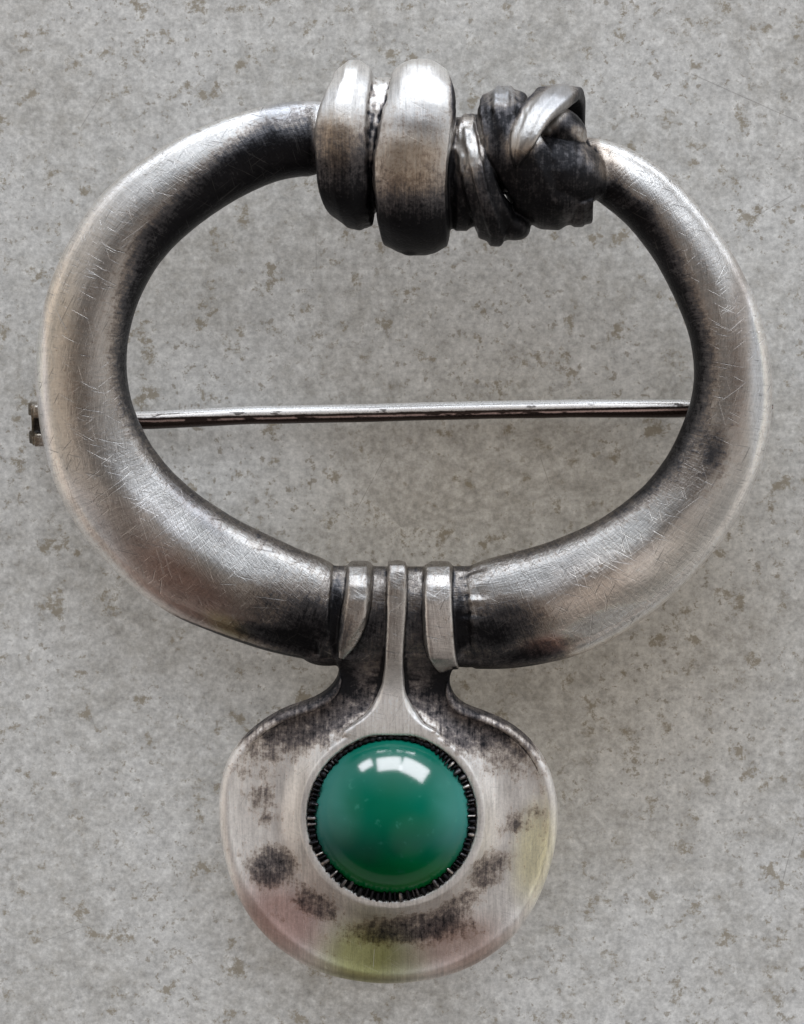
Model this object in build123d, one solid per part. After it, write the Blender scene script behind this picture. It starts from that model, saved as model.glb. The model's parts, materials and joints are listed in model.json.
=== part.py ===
from build123d import *
import math
import os
from collections import namedtuple

# A silver ring brooch: two crowned arms meet in a knot of wound silver at the top and in a
# strapped waist at the bottom, which carries a dished round pendant with a green cabochon.
# A hinged pin stem crosses the back and lies at the mouth of a plain hook.
#
# The piece is modelled flat first: +X is the wearer's view to the right, +Y up towards the knot,
# +Z out of the front, with the middle of the hoop at the origin. It is then laid on its back,
# as it lies on a table: on the hinge ears, the hook and the lower edge of the pendant.

# Hoop
HOOP_RADIUS = 23.1          # half of the width across the two arms
ARM_WIDTH = 7.7             # widest stretch of an arm, seen from the front
ARM_DEPTH = 4.2             # thickest stretch of an arm, front to back

# Knot
TURN_HEIGHT = 12.0          # the largest turn, top to bottom
TURN_DEPTH = 8.8            # the largest turn, front to back
KNOT_CORE_WIDTH = 4.2       # the rod inside the turns
KNOT_CORE_DEPTH = 3.6
TIP_WIDTH = 3.0             # the hammered end of the wire, at its widest
TIP_THICKNESS = 1.25

# Waist
WAIST_WIDTH = 6.1           # the bare rod between the shoulders, along the pendant's axis
WAIST_DEPTH = 3.6
WAIST_SINK = 0.6            # how far the bare rod runs into each shoulder
STRAP_WIDTH = 1.72
STRAP_THICKNESS = 0.95
STRAP_SPREAD = 2.55         # middle of a strap to the middle rib
RIB_WIDTH = 1.05
RIB_THICKNESS = 1.2
STRIP_ROUND = 0.38          # edge rounding, a share of a strip's thickness

# Pendant
PENDANT_DROP = 28.0         # middle of the hoop to the middle of the stone
PENDANT_SHIFT = -0.75       # the pendant hangs a little left of the middle
DISC_RADIUS = 10.65
DISC_THICKNESS = 2.4
DISC_EDGE_ROUND = 0.55
DISH_DEPTH = 0.65
LIP_WIDTH = 0.6             # raised lip round the dish
COLLAR_HEIGHT = 0.75
COLLAR_TOP = 0.45           # flat top of the collar
COLLAR_WIDTH = 2.1          # down to the bottom of the dish

# Stone and its bezel
STONE_RADIUS = 4.9
STONE_GIRDLE = 1.3
STONE_DOME = 2.9
STONE_GAP = 0.05
BEZEL_WALL = 0.28
BEZEL_HEIGHT = 1.45
BEZEL_NOTCHES = 44
BEZEL_NOTCH = 0.22
WELL_GAP = 0.12             # the dark groove between bezel and collar
SEAT_THICKNESS = 1.3        # metal left under the stone

# Pin, hinge and hook
PIN_RADIUS = 0.575
PIN_SLANT = 1.25            # degrees that the stem climbs to the right
PIN_TIP_RADIUS = 0.14
PIN_OVERHANG = 0.35         # the point reaches past the right arm
PIN_TAPER = 6.0
PIN_CLEARANCE = 0.95        # stem surface to the back of the arms
HINGE_DROP = 3.6            # hinge below the middle of the hoop
EAR_PEEK = 0.75             # the ears show past the left arm
EAR_RADIUS = 1.2
EAR_THICKNESS = 0.8
EAR_SLOT = 1.0
KNUCKLE_RADIUS = 0.8
KNUCKLE_PLAY = 0.05
SHANK_LENGTH = 5.6          # hinge to the start of the round stem
RIVET_RADIUS = 0.35
RIVET_PLAY = 0.03
RIVET_HEAD_RADIUS = 0.5
RIVET_HEAD = 0.12
HINGE_PLATE = 0.5
HOOK_WIDTH = 1.7            # along the stem
HOOK_WALL = 0.85
HOOK_REACH = 1.2            # depth of the hook's mouth
HOOK_INSET = 1.9            # middle of the hook to the outer edge of the right arm
MOUTH_GAP = 0.15            # stem to the hook's lip


ArmStep = namedtuple("ArmStep", "angle radius width depth lean")
Turn = namedtuple("Turn", "along rise width height depth back lean rounding")
StripStep = namedtuple("StripStep", "across down front width thickness")
OutlineStep = namedtuple("OutlineStep", "across up")

# Angles in degrees from +X. The middle line's radius is a share of HOOP_RADIUS, the width of
# ARM_WIDTH and the depth of ARM_DEPTH. The lean turns a section away from the radial line.
LEFT_ARM = [
    ArmStep(107, 0.641, 0.59, 0.80, -15),
    ArmStep(117, 0.690, 0.63, 0.84, -6),
    ArmStep(130, 0.739, 0.66, 0.88, 0),
    ArmStep(145, 0.798, 0.74, 0.93, 0),
    ArmStep(160, 0.849, 0.735, 0.95, 0),
    ArmStep(175, 0.871, 0.73, 0.95, 0),
    ArmStep(190, 0.866, 0.80, 0.97, 0),
    ArmStep(205, 0.834, 0.92, 1.00, 0),
    ArmStep(220, 0.779, 0.985, 1.00, 0),
    ArmStep(235, 0.729, 0.93, 1.00, 2),
    ArmStep(246, 0.704, 0.86, 0.98, 7),
    ArmStep(253, 0.697, 0.82, 0.96, 13),
]
RIGHT_ARM = [
    ArmStep(285, 0.703, 0.85, 0.96, -11),
    ArmStep(291, 0.716, 0.93, 0.98, -7),
    ArmStep(300, 0.743, 1.00, 1.00, 0),
    ArmStep(315, 0.790, 0.94, 1.00, 0),
    ArmStep(330, 0.843, 0.825, 0.97, 0),
    ArmStep(345, 0.883, 0.73, 0.94, 0),
    ArmStep(360, 0.888, 0.635, 0.90, 0),
    ArmStep(375, 0.854, 0.60, 0.87, 0),
    ArmStep(390, 0.812, 0.555, 0.84, 0),
    ArmStep(402, 0.773, 0.525, 0.81, 2),
    ArmStep(409, 0.727, 0.495, 0.78, 20),
    ArmStep(414, 0.697, 0.46, 0.76, 26),
]
# Corners and middles of an arm's section, as shares of its width and depth.
INNER_FRONT = (0.14, 0.37)
CROWN = (0.47, 0.50)
OUTER_FRONT = (0.87, 0.22)
OUTER_SIDE = (1.00, -0.08)
OUTER_BACK = (0.87, -0.38)
BACK = (0.50, -0.50)
INNER_BACK = (0.13, -0.38)
INNER_SIDE = (0.00, 0.00)

# The knot stands between the ends of the arms, so its place and length are shares of
# HOOP_RADIUS.
KNOT_START = -0.235
KNOT_LENGTH = 0.735
KNOT_RISE = 0.568
# Turns of the wire: the place along the knot and the width are shares of the knot's length, the
# rise and height of TURN_HEIGHT, the depth and back shift of TURN_DEPTH, the lean in degrees and
# the rounding of the edges a share of the turn's width.
TURNS = [
    Turn(0.108, 0.060, 0.215, 0.885, 0.91, 0.00, -4, 0.30),
    Turn(0.360, 0.000, 0.290, 1.000, 1.00, 0.00, -3, 0.34),
    Turn(0.540, -0.075, 0.190, 0.620, 0.74, 0.02, 8, 0.42),
    Turn(0.612, -0.095, 0.158, 0.735, 0.80, 0.00, 15, 0.40),
    Turn(0.758, 0.000, 0.190, 0.775, 0.80, 0.00, 17, 0.40),
    Turn(0.850, -0.105, 0.270, 0.540, 0.68, 0.02, 10, 0.42),
    Turn(0.925, 0.000, 0.150, 0.750, 0.60, 0.14, 6, 0.42),
]
# The end of the wire crosses the last turns. Places are shares of the knot's length, of
# TURN_HEIGHT and of TURN_DEPTH, sizes are shares of TIP_WIDTH and TIP_THICKNESS.
WIRE_TIP = [
    StripStep(0.935, -0.130, -0.20, 0.70, 0.90),
    StripStep(0.920, -0.255, -0.02, 0.85, 1.00),
    StripStep(0.880, -0.315, 0.18, 1.00, 1.00),
    StripStep(0.822, -0.235, 0.36, 0.92, 1.00),
    StripStep(0.768, -0.100, 0.455, 0.66, 0.95),
    StripStep(0.727, 0.040, 0.45, 0.16, 0.60),
]

# Straps and rib lie over the waist. Across is a share of STRAP_SPREAD from the rib's line, down
# is measured from the hoop's inner edge in shares of WAIST_WIDTH, front is a share of half of
# WAIST_DEPTH, sizes are shares of the strip's own width and thickness.
LEFT_STRAP = [
    StripStep(-0.90, 0.04, -0.35, 0.80, 0.70),
    StripStep(-0.92, 0.03, 0.35, 0.90, 0.90),
    StripStep(-0.94, 0.14, 0.92, 0.95, 1.00),
    StripStep(-1.03, 0.42, 1.12, 1.00, 1.00),
    StripStep(-1.20, 0.72, 1.00, 0.78, 0.85),
    StripStep(-1.38, 0.93, 0.78, 0.20, 0.50),
]
RIGHT_STRAP = [
    StripStep(1.05, 0.04, -0.35, 0.85, 0.70),
    StripStep(1.03, 0.03, 0.35, 0.95, 0.90),
    StripStep(1.00, 0.14, 0.92, 1.00, 1.00),
    StripStep(0.98, 0.46, 1.12, 1.05, 1.00),
    StripStep(1.06, 0.82, 1.00, 1.00, 0.90),
    StripStep(1.24, 1.04, 0.72, 0.62, 0.60),
]
MIDDLE_RIB = [
    StripStep(0.00, 0.04, -0.35, 0.90, 0.80),
    StripStep(0.00, 0.03, 0.35, 0.95, 0.90),
    StripStep(0.00, 0.12, 0.95, 1.00, 1.00),
    StripStep(-0.03, 0.45, 1.12, 1.00, 1.00),
    StripStep(-0.07, 0.95, 0.86, 0.95, 1.00),
    StripStep(-0.10, 1.20, 0.72, 0.90, 1.00),
    StripStep(-0.12, 1.42, 0.74, 1.10, 1.00),
]
WAIST_EDGE = -12.35         # the hoop's inner edge at the waist
RIB_LINE = -0.42            # the middle rib's place across

# Outline of the pendant from the left of its neck, down and round to the right of the neck,
# from the stone's middle in shares of DISC_RADIUS.
PENDANT_OUTLINE = [
    OutlineStep(-0.375, 0.960),
    OutlineStep(-0.322, 0.815),
    OutlineStep(-0.400, 0.718),
    OutlineStep(-0.618, 0.624),
    OutlineStep(-0.826, 0.498),
    OutlineStep(-0.970, 0.320),
    OutlineStep(-1.023, 0.010),
    OutlineStep(-0.965, -0.370),
    OutlineStep(-0.770, -0.720),
    OutlineStep(-0.440, -0.948),
    OutlineStep(-0.020, -1.027),
    OutlineStep(0.400, -0.955),
    OutlineStep(0.730, -0.730),
    OutlineStep(0.925, -0.370),
    OutlineStep(0.980, 0.000),
    OutlineStep(0.897, 0.323),
    OutlineStep(0.742, 0.498),
    OutlineStep(0.533, 0.606),
    OutlineStep(0.385, 0.680),
    OutlineStep(0.340, 0.780),
    OutlineStep(0.420, 0.920),
]
NECK_TOP = 1.26             # the neck ends inside the waist, a share of DISC_RADIUS
# Right side of the point that joins the rib to the collar, from the tip down, in shares of the
# collar's radius from the stone's middle.
COLLAR_POINT = [
    OutlineStep(0.085, 1.52),
    OutlineStep(0.215, 1.20),
    OutlineStep(0.660, 0.74),
]

# Worked-out sizes
ARM_BACK = -ARM_DEPTH / 2
PIN_LEVEL = ARM_BACK - PIN_CLEARANCE - PIN_RADIUS
DISC_FRONT = DISC_THICKNESS / 2
DISC_BACK = -DISC_THICKNESS / 2
HINGE_ACROSS = -(HOOP_RADIUS + EAR_PEEK - EAR_RADIUS)
HOOK_ACROSS = HOOP_RADIUS - HOOK_INSET
EAR_SPAN = EAR_SLOT + 2 * EAR_THICKNESS
PIN_LENGTH = HOOP_RADIUS + PIN_OVERHANG - HINGE_ACROSS
STEM_LENGTH = PIN_LENGTH - SHANK_LENGTH - PIN_TAPER
WELL_RADIUS = STONE_RADIUS + STONE_GAP + BEZEL_WALL + WELL_GAP
SEAT_LEVEL = DISC_BACK + SEAT_THICKNESS


def arm_section(step):
    """One closed section of an arm, across the arm's run."""
    radius = step.radius * HOOP_RADIUS
    width = step.width * ARM_WIDTH
    depth = step.depth * ARM_DEPTH
    spot = math.radians(step.angle)
    turn = math.radians(step.angle + step.lean)
    middle = Vector(radius * math.cos(spot), radius * math.sin(spot), 0)
    outward = Vector(math.cos(turn), math.sin(turn), 0)
    plane = Plane(origin=middle, x_dir=outward, z_dir=(outward.Y, -outward.X, 0))

    def place(shares):
        return ((shares[0] - 0.5) * width, shares[1] * depth)

    front = ThreePointArc(place(INNER_FRONT), place(CROWN), place(OUTER_FRONT))
    outer = ThreePointArc(place(OUTER_FRONT), place(OUTER_SIDE), place(OUTER_BACK))
    back = ThreePointArc(place(OUTER_BACK), place(BACK), place(INNER_BACK))
    inner = ThreePointArc(place(INNER_BACK), place(INNER_SIDE), place(INNER_FRONT))
    return plane * make_face(Curve() + [front, outer, back, inner])


def arm(steps):
    """An arm of the hoop, lofted through its sections."""
    return loft([arm_section(step) for step in steps])


def arm_end(step):
    """Middle of an arm's section, flat in the hoop's plane."""
    spot = math.radians(step.angle)
    radius = step.radius * HOOP_RADIUS
    return Vector(radius * math.cos(spot), radius * math.sin(spot), 0)


def rod(start, end, width, depth):
    """A straight rod of oval section between two places in the hoop's plane."""
    run = end - start
    plane = Plane(origin=start, x_dir=(-run.Y, run.X, 0), z_dir=run)
    return extrude(plane * Ellipse(width / 2, depth / 2), amount=run.length)


def knot_place(along, rise, front):
    """A place in the knot, from shares of its length, height and depth."""
    across = (KNOT_START + along * KNOT_LENGTH) * HOOP_RADIUS
    return Vector(across, KNOT_RISE * HOOP_RADIUS + rise * TURN_HEIGHT, front * TURN_DEPTH)


def knot_turn(turn):
    """One turn of the wound wire: a broad ring with well rounded edges."""
    width = turn.width * KNOT_LENGTH * HOOP_RADIUS
    oval = Plane.YZ * Ellipse(turn.height * TURN_HEIGHT / 2, turn.depth * TURN_DEPTH / 2)
    ring = extrude(oval, amount=width / 2, both=True)
    ring = fillet(ring.edges().filter_by(GeomType.ELLIPSE), turn.rounding * width)
    middle = knot_place(turn.along, turn.rise, -turn.back)
    return Location(middle) * Rot(0, 0, turn.lean) * ring


def strip(places, widths, thicknesses, facing):
    """A strap of silver that follows places, with its broad side towards facing."""
    sections = []
    for index, place in enumerate(places):
        before = places[max(index - 1, 0)]
        after = places[min(index + 1, len(places) - 1)]
        run = (after - before).normalized()
        broad = run.cross(facing(place)).normalized()
        plane = Plane(origin=place, x_dir=broad, z_dir=run)
        width, thickness = widths[index], thicknesses[index]
        rounding = STRIP_ROUND * min(width, thickness)
        sections.append(plane * RectangleRounded(width, thickness, rounding))
    return loft(sections)


def wire_tip():
    """The hammered end of the wire, which crosses the last turns and tapers to a point."""
    places = [knot_place(step.across, -step.down, step.front) for step in WIRE_TIP]
    axis = knot_place(0.8, 0, 0)

    def outward(place):
        return Vector(0, place.Y - axis.Y, place.Z)

    return strip(
        places,
        [step.width * TIP_WIDTH for step in WIRE_TIP],
        [step.thickness * TIP_THICKNESS for step in WIRE_TIP],
        outward,
    )


def waist_strip(steps, width, thickness):
    """A strap or rib that starts behind the waist and comes over it to the front."""
    axis_down = WAIST_EDGE - WAIST_WIDTH / 2
    places = []
    for step in steps:
        across = RIB_LINE + step.across * STRAP_SPREAD
        down = WAIST_EDGE - step.down * WAIST_WIDTH
        places.append(Vector(across, down, step.front * WAIST_DEPTH / 2))

    def outward(place):
        return Vector(0, max(place.Y - axis_down, 0), WAIST_DEPTH / 2)

    return strip(
        places,
        [step.width * width for step in steps],
        [step.thickness * thickness for step in steps],
        outward,
    )


def waist():
    """The bare rod between the shoulders with the neck below, two straps and the rib."""
    left = arm_end(LEFT_ARM[-1]).X - WAIST_SINK
    right = arm_end(RIGHT_ARM[0]).X + WAIST_SINK
    middle_down = WAIST_EDGE - WAIST_WIDTH / 2
    core = rod(Vector(left, middle_down, 0), Vector(right, middle_down, 0), WAIST_WIDTH, WAIST_DEPTH)
    left_strap = waist_strip(LEFT_STRAP, STRAP_WIDTH, STRAP_THICKNESS)
    right_strap = waist_strip(RIGHT_STRAP, STRAP_WIDTH, STRAP_THICKNESS)
    rib = waist_strip(MIDDLE_RIB, RIB_WIDTH, RIB_THICKNESS)
    return [core, left_strap, right_strap, rib]


def stone_axis():
    """The stone's axis, at the level of the hoop's middle plane."""
    return Location((PENDANT_SHIFT, -PENDANT_DROP, 0))


def ring_solid(profile):
    """A profile of radius and level points, turned about the stone's axis."""
    face = Plane.XZ * make_face(Polyline(*profile, close=True))
    return stone_axis() * revolve(face, Axis.Z)


def pendant_face(inset):
    """The pendant's outline with its neck, drawn in by an inset towards the stone."""
    outline = []
    for step in PENDANT_OUTLINE:
        share = 1 - inset / (DISC_RADIUS * math.hypot(step.across, step.up))
        outline.append((step.across * DISC_RADIUS * share, step.up * DISC_RADIUS * share))
    top = NECK_TOP * DISC_RADIUS
    closing = Polyline(outline[-1], (outline[-1][0], top), (outline[0][0], top), outline[0])
    return make_face(Curve() + [Spline(*outline), closing])


def dish_cut():
    """The trough between the collar and the raised lip."""
    inner = WELL_RADIUS + COLLAR_TOP
    outer = DISC_RADIUS
    level = DISC_FRONT + DISH_DEPTH / 2
    middle = (inner + outer) / 2
    arc = ThreePointArc((inner, level), (middle, DISC_FRONT - DISH_DEPTH), (outer, level))
    face = make_face(Curve() + [arc, Polyline((outer, level), (inner, level))])
    trough = revolve(Plane.XZ * face, Axis.Z)
    return trough & extrude(pendant_face(LIP_WIDTH), amount=DISC_THICKNESS, both=True)


def collar():
    """The raised ring round the stone, which falls in a hollow curve to the dish."""
    top = DISC_FRONT + COLLAR_HEIGHT
    crest = WELL_RADIUS + COLLAR_TOP
    foot = WELL_RADIUS + COLLAR_WIDTH
    fall = ThreePointArc(
        (crest, top),
        (crest + 0.36 * (foot - crest), DISC_FRONT),
        (foot, DISC_FRONT - DISH_DEPTH),
    )
    inside = Polyline(
        (foot, DISC_FRONT - DISH_DEPTH), (foot, SEAT_LEVEL), (WELL_RADIUS, SEAT_LEVEL),
        (WELL_RADIUS, top), (crest, top),
    )
    return revolve(Plane.XZ * make_face(Curve() + [fall, inside]), Axis.Z)


def collar_point():
    """The point that runs from the collar up to the rib."""
    radius = WELL_RADIUS + COLLAR_TOP
    right = [(step.across * radius, step.up * radius) for step in COLLAR_POINT]
    left = [(-across, up) for across, up in reversed(right)]
    sides = [ThreePointArc(*right), ThreePointArc(*left)]
    ends = [Line(right[-1], left[0]), Line(left[-1], right[0])]
    face = make_face(Curve() + [sides[0], ends[0], sides[1], ends[1]])
    return Pos(0, 0, SEAT_LEVEL) * extrude(face, DISC_FRONT + 0.8 * COLLAR_HEIGHT - SEAT_LEVEL)


def pendant():
    """The dished disc with its neck and collar, and the stone's well to be cut from it."""
    plate = Pos(0, 0, DISC_BACK) * extrude(pendant_face(0), DISC_THICKNESS)
    rims = [rim for rim in plate.edges() if rim.length > 4 * DISC_RADIUS]
    plate = fillet(rims, DISC_EDGE_ROUND) - dish_cut() + collar() + collar_point()
    well = Pos(0, 0, SEAT_LEVEL) * Cylinder(
        WELL_RADIUS, DISC_THICKNESS + COLLAR_HEIGHT, align=(Align.CENTER, Align.CENTER, Align.MIN)
    )
    return stone_axis() * plate, stone_axis() * well


def bezel():
    """The thin notched wall that holds the stone."""
    inner = STONE_RADIUS + STONE_GAP
    top = SEAT_LEVEL + BEZEL_HEIGHT
    wall = ring_solid([
        (inner, SEAT_LEVEL - STONE_GAP),
        (inner + BEZEL_WALL, SEAT_LEVEL - STONE_GAP),
        (inner + BEZEL_WALL, top),
        (inner, top),
    ])
    notch = Box(4 * BEZEL_WALL, BEZEL_NOTCH, 2 * BEZEL_NOTCH)
    places = PolarLocations(inner + BEZEL_WALL / 2, BEZEL_NOTCHES)
    return wall - [stone_axis() * Pos(0, 0, top) * place * notch for place in places]


def hinge_frame():
    """The hinge's middle, with +X along the stem at rest and +Y along the rivet."""
    return Location((HINGE_ACROSS, -HINGE_DROP, PIN_LEVEL)) * Rot(0, 0, PIN_SLANT)


def across_rivet(radius, length):
    """A cylinder on the rivet's axis, in the hinge's own frame."""
    return Rot(90, 0, 0) * Cylinder(radius, length)


def hinge_ears():
    """Two round ears on a small plate under the left arm, bored for the rivet."""
    rise = -PIN_LEVEL - ARM_DEPTH / 4
    ear = across_rivet(EAR_RADIUS, EAR_THICKNESS)
    web_width = 1.4 * EAR_RADIUS
    ear += Pos(web_width / 2 - EAR_RADIUS / 2, 0, rise / 2) * Box(web_width, EAR_THICKNESS, rise)
    step = (EAR_SLOT + EAR_THICKNESS) / 2
    plate_level = ARM_BACK - PIN_LEVEL
    plate = Pos(web_width / 2, 0, plate_level) * Box(2 * web_width, EAR_SPAN, HINGE_PLATE)
    bore = across_rivet(RIVET_RADIUS + RIVET_PLAY, 2 * EAR_SPAN)
    return hinge_frame() * (Pos(0, step, 0) * ear + Pos(0, -step, 0) * ear + plate - bore)


def pin_stem():
    """The knuckle, the flat shank, the round stem and its point, as one solid."""
    thickness = EAR_SLOT - 2 * KNUCKLE_PLAY
    knuckle = across_rivet(KNUCKLE_RADIUS, thickness)
    shank_steps = [
        (0.0, thickness / 2, 1.12 * PIN_RADIUS),
        (0.45, thickness / 2, 1.12 * PIN_RADIUS),
        (1.0, PIN_RADIUS, PIN_RADIUS),
    ]
    shank = loft([
        Plane(origin=(share * SHANK_LENGTH, 0, 0), x_dir=(0, 1, 0), z_dir=(1, 0, 0))
        * Ellipse(side, height)
        for share, side, height in shank_steps
    ])
    stem_end = SHANK_LENGTH + STEM_LENGTH
    stem = Pos(SHANK_LENGTH, 0, 0) * Rot(0, 90, 0) * Cylinder(
        PIN_RADIUS, STEM_LENGTH, align=(Align.CENTER, Align.CENTER, Align.MIN)
    )
    point = Pos(stem_end, 0, 0) * Rot(0, 90, 0) * Cone(
        PIN_RADIUS, PIN_TIP_RADIUS, PIN_TAPER, align=(Align.CENTER, Align.CENTER, Align.MIN)
    )
    bore = across_rivet(RIVET_RADIUS + RIVET_PLAY, 2 * EAR_SPAN)
    return hinge_frame() * (knuckle + shank + stem + point - bore)


def hinge_rivet():
    """The rivet with a low head outside each ear."""
    body = across_rivet(RIVET_RADIUS, EAR_SPAN + 2 * RIVET_PLAY + RIVET_HEAD)
    step = EAR_SPAN / 2 + RIVET_PLAY + RIVET_HEAD / 2
    head = across_rivet(RIVET_HEAD_RADIUS, RIVET_HEAD)
    return hinge_frame() * (body + Pos(0, step, 0) * head + Pos(0, -step, 0) * head)


def foot_corner():
    """The lowest edge of the hinge ears: its place down the brooch and its level."""
    return -HINGE_DROP - EAR_SPAN / 2, PIN_LEVEL - EAR_RADIUS


def lying_tilt():
    """Angle that the brooch leans when it rests on its ears and the pendant's lower edge."""
    foot_down, foot_level = foot_corner()
    lowest = min(step.up for step in PENDANT_OUTLINE) * DISC_RADIUS
    edge_down = lowest - PENDANT_DROP + DISC_EDGE_ROUND
    edge_level = DISC_BACK + DISC_EDGE_ROUND
    run = foot_down - edge_down
    rise = foot_level - edge_level
    return math.asin(-DISC_EDGE_ROUND / math.hypot(run, rise)) - math.atan2(rise, run)


def table_level(down):
    """Level of the table under a place down the brooch, in the brooch's own frame."""
    foot_down, foot_level = foot_corner()
    return foot_level - (down - foot_down) * math.tan(lying_tilt())


def stem_down(across):
    """Where the stem at rest crosses a line up the brooch."""
    return -HINGE_DROP + (across - HINGE_ACROSS) * math.tan(math.radians(PIN_SLANT))


def catch_hook():
    """A plain hook under the right arm. The stem lies at its open mouth."""
    lip = stem_down(HOOK_ACROSS) + PIN_RADIUS + MOUTH_GAP
    mouth = 2 * PIN_RADIUS + MOUTH_GAP
    spine = lip + HOOK_REACH + HOOK_WALL
    floor_level = table_level(lip)
    top = ARM_BACK + ARM_DEPTH / 4
    outer = Polyline((lip, floor_level), (spine, floor_level), (spine, top), (lip, top), close=True)
    block = extrude(Plane.YZ * make_face(outer), amount=HOOK_WIDTH / 2, both=True)
    lower = block.edges().filter_by(Axis.X).group_by(Axis.Z)[0]
    block = fillet(lower, HOOK_WALL / 3)
    slot = Pos(0, lip, PIN_LEVEL) * Box(2 * HOOK_WIDTH, 2 * (HOOK_REACH - mouth / 2), mouth)
    slot_end = Pos(0, lip + HOOK_REACH - mouth / 2, PIN_LEVEL) * Rot(0, 90, 0) * Cylinder(
        mouth / 2, 2 * HOOK_WIDTH
    )
    return Pos(HOOK_ACROSS, 0, 0) * (block - slot - slot_end)


def cabochon():
    """The round domed stone, flat below, with a short straight girdle."""
    top = (0, STONE_GIRDLE + STONE_DOME)
    girdle = Polyline(top, (0, 0), (STONE_RADIUS, 0), (STONE_RADIUS, STONE_GIRDLE))
    half = math.sqrt(0.5)
    dome = Spline(
        (STONE_RADIUS, STONE_GIRDLE),
        (half * STONE_RADIUS, STONE_GIRDLE + half * STONE_DOME),
        top,
        tangents=[(0, 1), (-1, 0)],
    )
    turned = revolve(Plane.XZ * make_face(Curve() + [girdle, dome]), Axis.Z)
    return stone_axis() * Pos(0, 0, SEAT_LEVEL + STONE_GAP) * turned


def knot():
    """The rod inside the knot, the turns wound on it and the end of the wire."""
    core = rod(arm_end(LEFT_ARM[0]), arm_end(RIGHT_ARM[-1]), KNOT_CORE_WIDTH, KNOT_CORE_DEPTH)
    return [core] + [knot_turn(turn) for turn in TURNS] + [wire_tip()]


def brooch_body():
    """All the soldered silver as one solid."""
    plate, well = pendant()
    body = arm(LEFT_ARM) + arm(RIGHT_ARM)
    for piece in waist() + knot() + [plate]:
        body += piece
    return body - well + bezel() + hinge_ears() + catch_hook()


def laid_down(pieces):
    """All pieces lying on the table, with the middle of their box over the origin."""
    lean = Rot(math.degrees(lying_tilt()), 0, 0)
    turned = {name: lean * piece for name, piece in pieces.items()}
    boxes = [piece.bounding_box() for piece in turned.values()]
    across = (min(box.min.X for box in boxes) + max(box.max.X for box in boxes)) / 2
    along = (min(box.min.Y for box in boxes) + max(box.max.Y for box in boxes)) / 2
    shift = Pos(-across, -along, -min(box.min.Z for box in boxes))
    return {name: shift * piece for name, piece in turned.items()}


pieces = laid_down({
    "brooch_body": brooch_body(),
    "cabochon": cabochon(),
    "pin_stem": pin_stem(),
    "hinge_rivet": hinge_rivet(),
})

os.makedirs("parts", exist_ok=True)
for name, piece in pieces.items():
    export_step(piece, f"parts/{name}.step")
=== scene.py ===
"""A silver ring brooch with a green cabochon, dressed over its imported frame.

Everything is modelled in the brooch's own frame, in millimetres: +X to the right, +Y up towards the
knot, +Z out of the front, with the middle of the hoop at the origin. Each finished mesh is then laid
down as the brooch lies on its table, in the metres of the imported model.
"""

from __future__ import annotations

import json
import logging
import math
from dataclasses import dataclass
from enum import Enum
from functools import reduce
from itertools import chain
from typing import Any, NamedTuple, Sequence

import bmesh
import bpy
import numpy as np
from mathutils import Matrix, Vector

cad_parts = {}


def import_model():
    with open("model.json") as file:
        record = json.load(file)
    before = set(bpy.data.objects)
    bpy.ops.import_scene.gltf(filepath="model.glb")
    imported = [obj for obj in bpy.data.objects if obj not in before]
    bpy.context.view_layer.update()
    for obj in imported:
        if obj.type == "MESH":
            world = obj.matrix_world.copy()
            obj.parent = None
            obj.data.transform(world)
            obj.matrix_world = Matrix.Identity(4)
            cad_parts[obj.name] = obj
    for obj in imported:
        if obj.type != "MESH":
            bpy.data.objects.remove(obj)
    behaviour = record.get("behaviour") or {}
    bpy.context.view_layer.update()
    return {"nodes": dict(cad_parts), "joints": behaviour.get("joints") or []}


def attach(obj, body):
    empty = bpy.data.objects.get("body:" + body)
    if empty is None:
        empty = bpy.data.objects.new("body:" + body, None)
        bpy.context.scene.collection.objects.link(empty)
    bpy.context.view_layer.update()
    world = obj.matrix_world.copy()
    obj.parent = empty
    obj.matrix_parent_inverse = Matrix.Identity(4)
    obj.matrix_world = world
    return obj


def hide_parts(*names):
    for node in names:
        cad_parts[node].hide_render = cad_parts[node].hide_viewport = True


LOG = logging.getLogger("brooch")
METRE = 1000.0
HINGE = (-22.65, -3.6, -3.625)
STONE_MIDDLE = (-0.75, -28.0)
WELD = 1e-4
Colour = tuple[float, float, float]


class Body(str, Enum):
    """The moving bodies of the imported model."""

    BROOCH = "brooch"
    PIN = "pin"


class Slot(str, Enum):
    """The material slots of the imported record."""

    SILVER = "silver"
    STONE = "stone"
    WIRE = "pin_wire"
    RIVET = "rivet"


@dataclass(frozen=True)
class Signal:
    """A shader socket that takes part in Python expressions, with the bench that adds its nodes."""

    bench: Bench
    socket: bpy.types.NodeSocket

    def math(self, operation: str, *others: Plug) -> Signal:
        """Adds a Math node after this signal.

        Args:
            operation: Name of the node's operation.
            others: The further values of the operation.

        Returns:
            The result.
        """
        return self.bench.add("ShaderNodeMath", {"operation": operation}, dict(enumerate((self, *others))))

    def __add__(self, other: Plug) -> Signal:
        """This plus other."""
        return self.math("ADD", other)

    def __sub__(self, other: Plug) -> Signal:
        """This minus other."""
        return self.math("SUBTRACT", other)

    def __rsub__(self, other: float) -> Signal:
        """Other minus this."""
        return self.bench.add("ShaderNodeMath", {"operation": "SUBTRACT"}, {0: other, 1: self})

    def __mul__(self, other: Plug) -> Signal:
        """This times other."""
        return self.math("MULTIPLY", other)

    def __truediv__(self, other: Plug) -> Signal:
        """This over other."""
        return self.math("DIVIDE", other)

    __radd__ = __add__
    __rmul__ = __mul__

    def over(self, low: float, high: float) -> Signal:
        """A soft step from 0 at low to 1 at high.

        Args:
            low: Value that gives 0.
            high: Value that gives 1.

        Returns:
            The stepped signal.
        """
        settings = {"interpolation_type": "SMOOTHSTEP"}
        return self.bench.add("ShaderNodeMapRange", settings, {0: self, 1: low, 2: high})


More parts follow.
